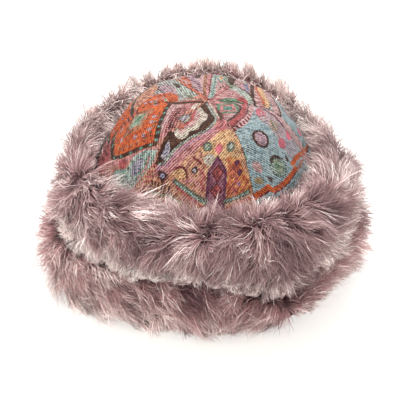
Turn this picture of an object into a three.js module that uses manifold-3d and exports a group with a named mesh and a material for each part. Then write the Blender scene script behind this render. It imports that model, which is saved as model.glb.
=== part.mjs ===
// A winter toque: a crown of six sewn cloth gores inside a deep fur cuff turned up in two rolls.
// Millimetres, +Z up. The hat stands on the plane z = 0 with its front towards -Y.
import * as THREE from "three";
import { mergeVertices } from "three/addons/utils/BufferGeometryUtils.js";
import Module from "manifold-3d";

const wasm = await Module();
wasm.setup();

// Driving dimensions
const crownHeight = 150;
const rimHeight = 6;
const clothThickness = 2.4;
const goreCount = 6;
const firstSeam = 26;
const seamGap = 0.3;
const seamDip = 1.6;
const goreTipRadius = 0.6;
const leanPerMillimetre = 0.031;
const puffReach = 11;
const puffLowest = 75;
const puffFullest = 138;
const furGap = 0.5;
const rollGap = 0.3;
const cutAllowance = 3;
const snapGrid = 0.01;
const hemTop = 46;
const hemWidestHeight = 22;
const cuffWidestHeight = 76;
const lockReach = 8;
const lockRise = 6;

// Mesh steps
const goreColumns = 8;
const goreRows = 13;
const rollColumns = 44;
const lockSides = 4;

const degree = Math.PI / 180;
const fullTurn = 2 * Math.PI;
const puffAzimuth = 195 * degree;

// The crown from apex to rim, at the middle of a gore: radius, and drop below the apex.
const crownProfile = [
  { radius: 0, drop: 0 },
  { radius: 20, drop: 0.6 },
  { radius: 40, drop: 2.8 },
  { radius: 59, drop: 10 },
  { radius: 75, drop: 27.5 },
  { radius: 87, drop: 46.5 },
  { radius: 95, drop: 62 },
  { radius: 98, drop: 83 },
  { radius: 97, drop: 115 },
  { radius: 95, drop: crownHeight - rimHeight },
];

// The fur round the hat, every 30 degrees from the front towards the right, at the tips of its locks:
// how far the upper roll reaches from the axis, how high it stands, and how far the lower roll reaches.
const furOutline = [
  { azimuth: 0, cuffReach: 143, cuffTop: 112, hemReach: 134 },
  { azimuth: 30, cuffReach: 142, cuffTop: 111, hemReach: 143 },
  { azimuth: 60, cuffReach: 143, cuffTop: 110, hemReach: 138 },
  { azimuth: 90, cuffReach: 133, cuffTop: 108, hemReach: 149 },
  { azimuth: 120, cuffReach: 127, cuffTop: 110, hemReach: 149 },
  { azimuth: 150, cuffReach: 136, cuffTop: 120, hemReach: 148 },
  { azimuth: 180, cuffReach: 142, cuffTop: 129, hemReach: 147 },
  { azimuth: 210, cuffReach: 138, cuffTop: 122, hemReach: 147 },
  { azimuth: 240, cuffReach: 131, cuffTop: 114, hemReach: 146 },
  { azimuth: 270, cuffReach: 133, cuffTop: 113, hemReach: 148 },
  { azimuth: 300, cuffReach: 141, cuffTop: 113, hemReach: 150 },
  { azimuth: 330, cuffReach: 142, cuffTop: 112, hemReach: 136 },
];

// Rows of fur locks. Angles run up a roll's section: 0 at its widest, 90 at its top, 180 at the crown.
const cuffLocks = [
  { count: 17, rootAngle: 64, tipAngle: 128, stand: 9, width: 34, thickness: 13 },
  { count: 19, rootAngle: 66, tipAngle: 12, stand: 9, width: 40, thickness: 15 },
  { count: 21, rootAngle: 18, tipAngle: -36, stand: 9, width: 38, thickness: 14 },
];
const hemLocks = [
  { count: 19, rootAngle: 36, tipAngle: -10, stand: 8, width: 40, thickness: 14 },
  { count: 21, rootAngle: 0, tipAngle: -46, stand: 8, width: 38, thickness: 13 },
];

// Profile and outline lookups
const crownCurve = new THREE.SplineCurve(
  crownProfile.map((row) => new THREE.Vector2(row.radius, crownHeight - row.drop)),
);

function crownRadiusAt(height) {
  let above = 0;
  let below = 1;
  for (let step = 0; step < 24; step += 1) {
    const middle = (above + below) / 2;
    if (crownCurve.getPoint(middle).y > height) above = middle;
    else below = middle;
  }
  return crownCurve.getPoint(above).x;
}

// A smooth reading of one column of the outline table at any azimuth.
function furSize(column, azimuth) {
  const rows = furOutline.length;
  const spot = ((azimuth / fullTurn + 1) % 1) * rows;
  const index = Math.floor(spot);
  const value = (offset) => furOutline[(index + offset + rows) % rows][column];
  const t = spot - index;
  const slopeHere = (value(1) - value(-1)) / 2;
  const slopeNext = (value(2) - value(0)) / 2;
  const here = value(0) * (1 + 2 * t) * (1 - t) ** 2 + slopeHere * t * (1 - t) ** 2;
  return here + value(1) * t * t * (3 - 2 * t) + slopeNext * t * t * (t - 1);
}

// How far the hat stands out beyond its round form: it puffs out high up at the back.
function puffAt(azimuth, height) {
  const facing = Math.max(0, Math.cos(azimuth - puffAzimuth));
  const rise = THREE.MathUtils.smoothstep(height, puffLowest, puffFullest);
  const belowTop = Math.max(0, crownHeight - height) / (crownHeight - puffFullest);
  return puffReach * facing ** 2 * rise * Math.sqrt(Math.min(1, belowTop));
}

// A point of the hat from its radius, azimuth and height. The hat leans a little to the right.
function hatPoint(radius, azimuth, height) {
  const reach = radius + puffAt(azimuth, height);
  return new THREE.Vector3(
    reach * Math.sin(azimuth) + leanPerMillimetre * height,
    -reach * Math.cos(azimuth),
    height,
  );
}

// Walls between rings of points: each ring is a closed loop, and with wrap the last ring joins the first.
function ringWalls(rings, wrap) {
  const sides = rings[0].length;
  const faces = [];
  for (let ring = 0; ring < rings.length - (wrap ? 0 : 1); ring += 1) {
    const here = ring * sides;
    const next = ((ring + 1) % rings.length) * sides;
    for (let side = 0; side < sides; side += 1) {
      const across = (side + 1) % sides;
      faces.push(here + side, here + across, next + across);
      faces.push(here + side, next + across, next + side);
    }
  }
  return faces;
}

function meshGeometry(points, faces) {
  const geometry = new THREE.BufferGeometry().setFromPoints(points);
  geometry.setIndex(faces);
  return geometry;
}

// A closed mesh as a solid, turned to face outwards.
function solidFrom(geometry) {
  const merged = mergeVertices(geometry, 1e-4);
  const faces = Uint32Array.from(merged.index.array);
  const vertProperties = Float32Array.from(merged.attributes.position.array);
  const make = () => new wasm.Manifold(new wasm.Mesh({ numProp: 3, vertProperties, triVerts: faces }));
  const solid = make();
  if (solid.volume() > 0) return solid;
  for (let corner = 0; corner < faces.length; corner += 3)
    [faces[corner + 1], faces[corner + 2]] = [faces[corner + 2], faces[corner + 1]];
  return make();
}

function snap(value) {
  return Math.round(value / snapGrid) * snapGrid;
}

// A solid's mesh with its points on the snap grid and the slivers that fall together left out.
function geometryFrom(solid) {
  const mesh = solid.getMesh();
  const geometry = new THREE.BufferGeometry();
  const positions = Float32Array.from(mesh.vertProperties, snap);
  geometry.setAttribute("position", new THREE.BufferAttribute(positions, mesh.numProp));
  geometry.setIndex(new THREE.BufferAttribute(mesh.triVerts, 1));
  const merged = mergeVertices(geometry, snapGrid / 4);
  const corners = merged.index.array;
  const kept = [];
  for (let corner = 0; corner < corners.length; corner += 3) {
    const [a, b, c] = corners.slice(corner, corner + 3);
    if (a !== b && b !== c && c !== a) kept.push(a, b, c);
  }
  merged.setIndex(kept);
  return merged;
}

// Crown gores: each is a wedge of cloth with a dip along its two seams.
function gorePoint(along, across, middle, depth) {
  const spot = crownCurve.getPointAt(along);
  const tangent = crownCurve.getTangentAt(along);
  const dipFade = Math.min(1, spot.x / 30);
  const inward = depth + seamDip * Math.abs(across) ** 5 * dipFade;
  const radius = Math.max(goreTipRadius, spot.x + tangent.y * inward);
  const halfAngle = Math.PI / goreCount - Math.asin(seamGap / 2 / radius);
  return hatPoint(radius, middle + across * halfAngle, spot.y - tangent.x * inward);
}

function goreGeometry(middle) {
  const tip = goreTipRadius / crownCurve.getLength();
  const rings = [];
  for (let row = 0; row <= goreRows; row += 1) {
    const along = tip + (1 - tip) * (row / goreRows);
    const outside = [];
    const inside = [];
    for (let column = 0; column <= goreColumns; column += 1) {
      const across = (2 * column) / goreColumns - 1;
      outside.push(gorePoint(along, across, middle, 0));
      inside.unshift(gorePoint(along, across, middle, clothThickness));
    }
    rings.push([...outside, ...inside]);
  }
  const sides = rings[0].length;
  const faces = ringWalls(rings, false);
  const rim = goreRows * sides;
  for (let column = 0; column < goreColumns; column += 1) {
    const opposite = sides - 1 - column;
    faces.push(column, opposite, column + 1);
    faces.push(column + 1, opposite, opposite - 1);
    faces.push(rim + column, rim + column + 1, rim + opposite);
    faces.push(rim + column + 1, rim + opposite - 1, rim + opposite);
  }
  return meshGeometry(rings.flat(), faces);
}

// Fur rolls: each section is rounded outwards, widest at a set height. It runs on past the crown's
// face and its own base by the cut allowance, and is then cut back to them.
const undercut = 1.3;
const shoulder = 1.15;
const cuff = {
  base: hemTop + rollGap,
  widestHeight: cuffWidestHeight,
  reachColumn: "cuffReach",
  rise: (azimuth) => furSize("cuffTop", azimuth) - lockRise - cuffWidestHeight,
  crestTowardsCrown: (azimuth) => 1.45 + 0.45 * Math.cos(azimuth),
  topAngle: Math.PI,
  wallHeights: [hemTop + 15, hemTop + rollGap - cutAllowance],
};
const hem = {
  base: 0,
  widestHeight: hemWidestHeight,
  reachColumn: "hemReach",
  rise: () => (hemTop - hemWidestHeight) * shoulder,
  crestTowardsCrown: () => 1,
  topAngle: Math.asin(1 / shoulder),
  wallHeights: [hemTop, hemTop / 2, -cutAllowance],
};

function rollSpot(roll, azimuth, angle, stand) {
  const inner = crownRadiusAt(roll.widestHeight) + furGap;
  const reach = furSize(roll.reachColumn, azimuth) - lockReach;
  const upper = angle > 0;
  const share = ((1 + Math.cos(angle)) / 2) ** (upper ? roll.crestTowardsCrown(azimuth) : 1);
  const span = upper ? roll.rise(azimuth) : (roll.widestHeight - roll.base) * undercut;
  const width = (reach - inner) / 2;
  const outward = new THREE.Vector2(span * Math.cos(angle), width * Math.sin(angle)).normalize();
  return {
    radius: inner + (reach - inner) * share + outward.x * stand,
    height: roll.widestHeight + span * Math.sin(angle) + outward.y * stand,
  };
}

function rollGeometry(roll) {
  const arcSteps = 10;
  const lowRise = roll.widestHeight - roll.base;
  const lowAngle = -Math.asin((lowRise + cutAllowance) / (lowRise * undercut));
  const rings = [];
  for (let column = 0; column < rollColumns; column += 1) {
    const azimuth = (column / rollColumns) * fullTurn;
    const ring = [];
    for (let step = 0; step <= arcSteps; step += 1) {
      const angle = lowAngle + ((roll.topAngle - lowAngle) * step) / arcSteps;
      const spot = rollSpot(roll, azimuth, angle, 0);
      ring.push(hatPoint(spot.radius, azimuth, spot.height));
    }
    for (const height of roll.wallHeights)
      ring.push(hatPoint(crownRadiusAt(height) - cutAllowance, azimuth, height));
    rings.push(ring);
  }
  return meshGeometry(rings.flat(), ringWalls(rings, true));
}

// Steady values between -1 and 1 that make the locks differ.
function vary(index, salt) {
  return 2 * ((index * 0.618034 + salt * 0.381966) % 1) - 1;
}

// A fur lock: a flat tapered tongue that leaves the roll's face and ends in a point.
const lockStations = [
  { along: 0, size: 0.7 },
  { along: 0.4, size: 1 },
  { along: 0.78, size: 0.6 },
];

function lockGeometry(roll, row, index) {
  const azimuth = ((index + 0.25 * vary(index, 1)) / row.count) * fullTurn;
  const sweep = (8 * Math.sin(2 * azimuth + 1) + 5 * vary(index, 2)) * degree;
  const lengthShare = 1 + 0.12 * vary(index, 3);
  const widthShare = 1 + 0.15 * vary(index, 4);
  const rootDepth = row.thickness / 2;
  const spotAt = (along) => {
    const angle = (row.rootAngle + (row.tipAngle - row.rootAngle) * along * lengthShare) * degree;
    const stand = (row.stand + rootDepth) * along ** 1.4 - rootDepth;
    const turned = azimuth + sweep * along;
    const spot = rollSpot(roll, turned, angle, stand);
    return hatPoint(spot.radius, turned, spot.height);
  };
  const level = new THREE.Vector3(Math.cos(azimuth), Math.sin(azimuth), 0);
  const rings = lockStations.map(({ along, size }) => {
    const centre = spotAt(along);
    const forward = spotAt(along + 0.05).sub(centre).normalize();
    const wide = level.clone().addScaledVector(forward, -level.dot(forward)).normalize();
    const thick = new THREE.Vector3().crossVectors(forward, wide);
    const ring = [];
    for (let side = 0; side < lockSides; side += 1) {
      const turn = (side / lockSides) * fullTurn;
      const point = centre.clone();
      point.addScaledVector(wide, (Math.cos(turn) * row.width * widthShare * size) / 2);
      point.addScaledVector(thick, (Math.sin(turn) * row.thickness * size) / 2);
      ring.push(point);
    }
    return ring;
  });
  const faces = ringWalls(rings, false);
  const lastRing = (rings.length - 1) * lockSides;
  const tipPoint = rings.length * lockSides;
  for (let side = 0; side < lockSides; side += 1)
    faces.push(lastRing + side, lastRing + ((side + 1) % lockSides), tipPoint);
  for (let side = 1; side < lockSides - 1; side += 1) faces.push(0, side + 1, side);
  return meshGeometry([...rings.flat(), spotAt(1)], faces);
}

// Everything inside the crown's outer face, a solid that the fur is cut back from.
function crownCore() {
  const highest = 116;
  const lowest = -10;
  const levels = [highest, 104, 92, 78, 62, 46, 23, rimHeight, lowest];
  const rings = levels.map((height) => {
    const ring = [];
    for (let column = 0; column < rollColumns; column += 1) {
      const radius = crownRadiusAt(Math.max(height, rimHeight)) + furGap;
      ring.push(hatPoint(radius, (column / rollColumns) * fullTurn, height));
    }
    return ring;
  });
  const faces = ringWalls(rings, false);
  const bottom = (rings.length - 1) * rollColumns;
  for (let column = 1; column < rollColumns - 1; column += 1) {
    faces.push(0, column + 1, column);
    faces.push(bottom, bottom + column, bottom + column + 1);
  }
  return solidFrom(meshGeometry(rings.flat(), faces));
}

// What lies below a height, a solid that cuts the fur off level.
function blockBelow(height) {
  const size = 400;
  const block = new THREE.BoxGeometry(size, size, size).translate(0, 0, height - size / 2);
  block.deleteAttribute("normal");
  block.deleteAttribute("uv");
  return solidFrom(block);
}

// The outermost shell alone: pockets that the locks close off between them are filled.
function largestShell(solid) {
  return solid.decompose().reduce((largest, shell) => (shell.volume() > largest.volume() ? shell : largest));
}

function furRoll(roll, rows) {
  let solid = solidFrom(rollGeometry(roll));
  for (const row of rows)
    for (let index = 0; index < row.count; index += 1)
      solid = solid.add(solidFrom(lockGeometry(roll, row, index)));
  return largestShell(solid.subtract(crownCore()).subtract(blockBelow(roll.base)));
}

// Materials
const jacquard = new THREE.MeshStandardMaterial({ color: 0xb87858, roughness: 0.85, metalness: 0 });
const fur = new THREE.MeshStandardMaterial({ color: 0xa58a8e, roughness: 0.95, metalness: 0 });

// The hat
function namedMesh(name, solid, material) {
  const mesh = new THREE.Mesh(geometryFrom(solid), material);
  mesh.name = name;
  return mesh;
}

const standing = new THREE.Group();
const goreNames = [
  "gore_front",
  "gore_front_right",
  "gore_back_right",
  "gore_back",
  "gore_back_left",
  "gore_front_left",
];
goreNames.forEach((name, index) => {
  const middle = (firstSeam + (index - 0.5) * (360 / goreCount)) * degree;
  standing.add(namedMesh(name, solidFrom(goreGeometry(middle)), jacquard));
});
standing.add(namedMesh("fur_cuff", furRoll(cuff, cuffLocks), fur));
standing.add(namedMesh("fur_hem", furRoll(hem, hemLocks), fur));

// The origin is the middle of the hat's outline, on the surface that it stands on.
const centre = new THREE.Box3().setFromObject(standing).getCenter(new THREE.Vector3());
standing.position.set(snap(-centre.x), snap(-centre.y), 0);

const hat = new THREE.Group();
hat.add(standing);

export default hat;
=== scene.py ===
"""A winter toque with a jacquard crown of six gores and a deep faux-fur cuff turned up in two rolls."""

import math

import bpy
import numpy as np
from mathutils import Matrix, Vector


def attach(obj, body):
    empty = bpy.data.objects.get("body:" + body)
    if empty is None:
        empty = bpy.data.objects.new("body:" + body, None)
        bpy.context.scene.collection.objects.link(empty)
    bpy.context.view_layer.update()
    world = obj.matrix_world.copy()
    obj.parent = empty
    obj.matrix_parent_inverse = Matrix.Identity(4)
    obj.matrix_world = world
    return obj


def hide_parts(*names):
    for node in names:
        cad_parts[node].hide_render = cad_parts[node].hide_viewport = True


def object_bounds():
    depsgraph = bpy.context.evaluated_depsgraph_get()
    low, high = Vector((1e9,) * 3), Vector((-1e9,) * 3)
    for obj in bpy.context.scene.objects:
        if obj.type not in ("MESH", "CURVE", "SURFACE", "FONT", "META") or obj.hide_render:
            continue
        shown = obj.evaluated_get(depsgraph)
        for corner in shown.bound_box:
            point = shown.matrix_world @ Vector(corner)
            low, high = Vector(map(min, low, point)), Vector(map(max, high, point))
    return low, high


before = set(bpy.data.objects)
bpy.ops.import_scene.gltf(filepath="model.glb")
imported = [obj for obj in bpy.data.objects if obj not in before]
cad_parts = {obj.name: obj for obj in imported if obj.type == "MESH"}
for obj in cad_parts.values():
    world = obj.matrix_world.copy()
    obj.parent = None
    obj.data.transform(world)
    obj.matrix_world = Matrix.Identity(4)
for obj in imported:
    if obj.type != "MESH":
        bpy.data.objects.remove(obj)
CAD_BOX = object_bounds()

bl_info = {
    "name": "Fur-cuffed toque",
    "version": (1, 0, 0),
    "blender": (4, 5, 0),
    "location": "View3D > Sidebar > Toque",
    "description": "Builds a toque with a jacquard crown and a deep faux-fur cuff",
    "category": "Add Mesh",
}

# Sizes of the hat in millimetres, as the model has them
MM = 0.001
AXIS_X = -1.11
AXIS_Y = -2.61
CROWN_HEIGHT = 150.0
LEAN = 0.031
PUFF_REACH = 11.0
PUFF_LOWEST = 75.0
PUFF_FULLEST = 138.0
PUFF_AZIMUTH = math.radians(195)
CLOTH_THICKNESS = 2.4
GORE_COUNT = 6
SEAM_GAP = 0.3
SEAM_DIP = 1.6
GORE_TIP_RADIUS = 0.6
FUR_GAP = 0.6
HEM_WIDEST = 22.0
CUFF_WIDEST = 76.0
UNDERCUT = 1.3
SHOULDER = 1.15
LOCK_REACH = 8.0
LOCK_RISE = 6.0
TIP_REACH = 0.008
TIP_START = 0.001

# The crown from apex to rim at the middle of a gore: radius, and drop below the apex
CROWN_PROFILE = [
    (0, 0), (20, 0.6), (40, 2.8), (59, 10), (75, 27.5),
    (87, 46.5), (95, 62), (98, 83), (97, 115), (95, 144),
]

# The fur every 30 degrees from the front towards the right: reach of the upper roll, its height,
# reach of the lower roll, and height of the crease between them
FUR_OUTLINE = np.array([
    (143, 112, 134, 54), (142, 111, 143, 30), (143, 110, 138, 38), (133, 108, 149, 44),
    (127, 110, 149, 46), (136, 120, 148, 46), (142, 129, 147, 46), (138, 122, 147, 46),
    (131, 114, 146, 46), (133, 113, 148, 46), (141, 113, 150, 49), (142, 112, 136, 50),
], float)
CUFF_REACH, CUFF_TOP, HEM_REACH, CREASE = range(4)


def crown_curve():
    """Radius, height and length from the apex of fine steps down the middle of a gore."""
    knots = np.array([(radius, CROWN_HEIGHT - drop) for radius, drop in CROWN_PROFILE], float)
    last = len(knots) - 1
    steps = []
    for share in np.linspace(0, 1, 2001):
        spot = min(last * share, last - 1e-9)
        index = int(spot)
        t = spot - index
        before = knots[max(index - 1, 0)]
        here = knots[index]
        after = knots[index + 1]
        beyond = knots[min(index + 2, last)]
        start = (after - before) / 2
        end = (beyond - here) / 2
        cubic = 2 * here - 2 * after + start + end
        square = -3 * here + 3 * after - 2 * start - end
        steps.append(cubic * t**3 + square * t**2 + start * t + here)
    steps = np.array(steps)
    lengths = np.concatenate([[0], np.cumsum(np.hypot(*np.diff(steps, axis=0).T))])
    return steps[:, 0], steps[:, 1], lengths


CURVE_RADIUS, CURVE_HEIGHT, CURVE_LENGTH = crown_curve()
GORE_LENGTH = CURVE_LENGTH[-1]


def crown_radius(height):
    return np.interp(height, CURVE_HEIGHT[::-1], CURVE_RADIUS[::-1])


def crown_at(along):
    """The crown's radius and height at a length from the apex."""
    return np.interp(along, CURVE_LENGTH, CURVE_RADIUS), np.interp(along, CURVE_LENGTH, CURVE_HEIGHT)


def half_width(along):
    """Half of a gore's width at a length from the apex."""
    return np.interp(along, CURVE_LENGTH, CURVE_RADIUS) * math.pi / GORE_COUNT


def puff_at(azimuth, height):
    """How far the hat stands out beyond its round form: it puffs out high up at the back."""
    facing = np.maximum(0, np.cos(azimuth - PUFF_AZIMUTH))
    rise = np.clip((height - PUFF_LOWEST) / (PUFF_FULLEST - PUFF_LOWEST), 0, 1)
    below_top = np.clip((CROWN_HEIGHT - height) / (CROWN_HEIGHT - PUFF_FULLEST), 0, 1)
    return PUFF_REACH * facing**2 * rise**2 * (3 - 2 * rise) * np.sqrt(below_top)


def hat_point(radius, azimuth, height):
    """A point of the hat in metres from its radius, azimuth and height in millimetres."""
    reach = radius + puff_at(azimuth, height)
    across = AXIS_X + reach * np.sin(azimuth) + LEAN * height
    deep = AXIS_Y - reach * np.cos(azimuth)
    return np.stack(np.broadcast_arrays(across, deep, height), -1) * MM


def fur_size(column, azimuth):
    """A smooth reading of one column of the fur's table at any azimuth."""
    values = FUR_OUTLINE[:, column]
    count = len(values)
    spot = (azimuth / (2 * np.pi) % 1) * count
    index = np.floor(spot).astype(int)
    t = spot - index
    before, here, after, beyond = (values[(index + step) % count] for step in (-1, 0, 1, 2))
    start = (after - before) / 2
    end = (beyond - here) / 2
    near = here * (1 + 2 * t) * (1 - t) ** 2 + start * t * (1 - t) ** 2
    return near + after * t * t * (3 - 2 * t) + end * t * t * (t - 1)


# Shader and geometry trees
class Value:
    """A socket in a node tree, on which maths is written as an expression."""

    def __init__(self, tree, socket):
        self.tree = tree
        self.socket = socket

    def math(self, operation, *others):
        inputs = {number: value for number, value in enumerate((self, *others))}
        return self.tree.add("ShaderNodeMath", {"operation": operation}, inputs)[0]

    def reflected(self, operation, other):
        return self.tree.add("ShaderNodeMath", {"operation": operation}, {0: other, 1: self})[0]

    def __add__(self, other):
        return self.math("ADD", other)

    def __radd__(self, other):
        return self.reflected("ADD", other)

    def __sub__(self, other):
        return self.math("SUBTRACT", other)

    def __rsub__(self, other):
        return self.reflected("SUBTRACT", other)

    def __mul__(self, other):
        return self.math("MULTIPLY", other)

    def __rmul__(self, other):
        return self.reflected("MULTIPLY", other)

    def __truediv__(self, other):
        return self.math("DIVIDE", other)

    def __pow__(self, other):
        return self.math("POWER", other)

    def __neg__(self):
        return self.math("MULTIPLY", -1.0)

    def clamp(self):
        return self.math("MAXIMUM", 0.0).math("MINIMUM", 1.0)

    def step(self, low, high):
        """0 below low, 1 above high, and smooth between them."""
        settings = {"interpolation_type": "SMOOTHSTEP"}
        return self.tree.add("ShaderNodeMapRange", settings, {0: self, 1: low, 2: high})[0]


class Nodes:
    """A node tree that is filled by one method."""

    def __init__(self, tree):
        self.tree = tree

    def add(self, kind, settings=None, inputs=None):
        """A node of that type with its settings, and values or links on its sockets, as its outputs."""
        node = self.tree.nodes.new(kind)
        for name, value in (settings or {}).items():
            setattr(node, name, value)
        for key, value in (inputs or {}).items():
            self.feed(self.socket(node.inputs, key), value)
        return Outputs(self, node)

    def feed(self, socket, value):
        if isinstance(value, Value):
            self.tree.links.new(value.socket, socket)
        else:
            socket.default_value = value

    @staticmethod
    def socket(sockets, key):
        if isinstance(key, int):
            return sockets[key]
        for socket in sockets:
            if socket.identifier == key:
                return socket
        return next(socket for socket in sockets if socket.name == key and socket.enabled)

    def mix(self, factor, first, second):
        """Two colours mixed."""
        inputs = {"Factor_Float": factor, "A_Color": first, "B_Color": second}
        return self.add("ShaderNodeMix", {"data_type": "RGBA"}, inputs)["Result_Color"]

    def vector(self, operation, *values):
        """Vector maths."""
        inputs = {number: value for number, value in enumerate(values)}
        outputs = self.add("ShaderNodeVectorMath", {"operation": operation}, inputs)
        return outputs["Value"] if operation == "DOT_PRODUCT" else outputs["Vector"]

    def noise(self, place, scale, detail, output=0):
        """Soft noise at a place, as a value or as its colour."""
        inputs = {"Vector": place, "Scale": scale, "Detail": detail}
        return self.add("ShaderNodeTexNoise", {}, inputs)[output]

    def attribute(self, name, output="Fac"):
        """What the mesh stores under that name."""
        return self.add("ShaderNodeAttribute", {"attribute_name": name})[output]

    def scaled(self, vector, share):
        """A vector or colour multiplied by one value."""
        inputs = {"Vector": vector, "Scale": share}
        return self.add("ShaderNodeVectorMath", {"operation": "SCALE"}, inputs)["Vector"]


class Outputs:
    """The outputs of a node by number, identifier or name."""

    def __init__(self, tree, node):
        self.tree = tree
        self.node = node

    def __getitem__(self, key):
        return Value(self.tree, Nodes.socket(self.node.outputs, key))


def srgb(code):
    """A colour as shaders take it, from its six hexadecimal digits."""
    channels = [int(code[start : start + 2], 16) / 255 for start in (0, 2, 4)]
    linear = [c / 12.92 if c <= 0.04045 else ((c + 0.055) / 1.055) ** 2.4 for c in channels]
    return (*linear, 1.0)


def new_material(name):
    material = bpy.data.materials.new(name)
    material.use_nodes = True
    material.node_tree.nodes.clear()
    return material, Nodes(material.node_tree)


def finish_material(nodes, constants, varying):
    """A Principled surface: constants set on its sockets, and what varies linked to them."""
    shader = nodes.add("ShaderNodeBsdfPrincipled", {}, {**constants, **varying})
    nodes.add("ShaderNodeOutputMaterial", {}, {"Surface": shader["BSDF"]})


# Meshes
def link_object(name, data):
    """An object with that data, in the scene."""
    thing = bpy.data.objects.new(name, data)
    bpy.context.scene.collection.objects.link(thing)
    return thing


def new_object(name, points, faces, material):
    mesh = bpy.data.meshes.new(name)
    mesh.from_pydata([tuple(p) for p in points], [], faces)
    mesh.validate()
    mesh.materials.append(material)
    return link_object(name, mesh)


def set_attribute(mesh, name, kind, values, domain="POINT"):
    attribute = mesh.attributes.new(name, kind, domain)
    key = {"FLOAT": "value", "FLOAT_VECTOR": "vector", "FLOAT_COLOR": "color"}[kind]
    attribute.data.foreach_set(key, np.ascontiguousarray(values, np.float32).ravel())


def place_piece(piece, slot, *nodes):
    """The piece rides on the hat and stands for these parts of the model, which it hides. The slot is not
    used.
    """
    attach(piece, "root")
    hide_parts(*nodes)


def zip_edges(first, second):
    """Triangles between two rows of points that run side by side."""
    faces = []
    a = b = 0
    while a < len(first) - 1 or b < len(second) - 1:
        step_first = (a + 1) / max(len(first) - 1, 1)
        step_second = (b + 1) / max(len(second) - 1, 1)
        if b == len(second) - 1 or (a < len(first) - 1 and step_first <= step_second):
            faces.append((first[a], first[a + 1], second[b]))
            a += 1
        else:
            faces.append((first[a], second[b + 1], second[b]))
            b += 1
    return faces


def number_grid(shape, first=0):
    """The point numbers of a grid."""
    return first + np.arange(shape[0] * shape[1]).reshape(shape[:2])


def grid_faces(index):
    """Quads over a grid of point numbers."""
    a = index[:-1, :-1].ravel()
    b = index[:-1, 1:].ravel()
    c = index[1:, 1:].ravel()
    d = index[1:, :-1].ravel()
    return list(zip(a.tolist(), b.tolist(), c.tolist(), d.tolist()))


def turned_over(faces):
    return [face[::-1] for face in faces]


# The weave: slope of the twill, size of its flecks in millimetres, unevenness of cells, share of bars
TWILL_ACROSS = 0.77
TWILL_DOWN = 0.64
FLECK_WIDTH = 1.05
FLECK_LENGTH = 2.8
FLECK_TABLE = 400
CELL_SHADE = 0.26
CELL_WOBBLE = 0.35
CELL_SEED = 40
BAR_SHARE = 0.45
LINING_COLOUR = "8C6A60"
CLOTH_MAP_SIZE = 100

# How the weave shows: where its ribs and stitches fade into gaps, how deep the gaps are, and its shades
RIB_EDGE = (0.25, 0.85)
STITCH_EDGE = (0.7, 1.0)
GAP_LEAST = 0.45
RIB_NOISE = 60.0
PATCH_NOISE = 22.0
STITCH_SHADE = (0.58, 0.22)
PATCH_SHADE = (0.8, 0.4)
BUMP_HEIGHT = 0.0006

# The cloth: where a gore's fine cells end in millimetres, the rows below them, and its inner face's grid
FINE_CLOTH_END = 132.0
COARSE_ROWS = 8
INNER_GRID = (14, 9)

# Puckers beside the seams and slack between them, in millimetres
SEAM_SHARPNESS = 5
PUCKER_START = 30
PUCKER_DEPTH = 0.9
PUCKER_PITCH = 0.82
PUCKER_SWAY = 2.1
PUCKER_DRIFT = 0.13
SLACK_DEPTH = 0.45
SLACK_PITCH = (0.11, 2.6, 0.05)

# Yarns of the jacquard: ground, fleck, and the share of flecks
YARNS = {
    "orange": ("E46E38", "B84C2A", 0.3),
    "coral": ("DA7C5C", "B05440", 0.35),
    "brown": ("46291C", "6A4632", 0.2),
    "dark": ("45322E", "6A5650", 0.25),
    "salmon": ("D69A8A", "AA6C5C", 0.38),
    "rose": ("DA9A9A", "AC6A68", 0.38),
    "redpink": ("C8686A", "9A4A4A", 0.36),
    "pink": ("E87C8C", "CC6878", 0.3),
    "palepink": ("DCB4B2", "B08886", 0.35),
    "magenta": ("C0849C", "D8A8AC", 0.4),
    "lilac": ("C2B6BE", "9E9AA4", 0.4),
    "mauve": ("C8A8AE", "A08490", 0.35),
    "lavender": ("A09AB2", "60607A", 0.4),
    "peach": ("E6B490", "C08466", 0.38),
    "apricot": ("EEC294", "CC966C", 0.34),
    "gold": ("EAA868", "C86C40", 0.42),
    "tan": ("BC8A6A", "7C4C38", 0.42),
    "plum": ("78405C", "5A3048", 0.35),
    "wine": ("7E3438", "5C2A2C", 0.3),
    "mint": ("B2CCC2", "7E9C94", 0.36),
    "cream": ("E2D6C6", "B4A494", 0.3),
    "grey": ("C4C0BA", "7E7C7C", 0.36),
    "sky": ("B6C8CA", "90AAB2", 0.42),
    "green": ("7C9C80", "4E6E58", 0.36),
    "teal": ("5C8C7C", "88ACA0", 0.3),
    "leaf": ("9CAC84", "A88C6C", 0.4),
    "olive": ("66685A", "8A8C74", 0.35),
    "sage": ("A8B49C", "848E7C", 0.4),
    "frost": ("C0C8BC", "8C9088", 0.4),
    "dusk": ("A87080", "84505E", 0.4),
}

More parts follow.
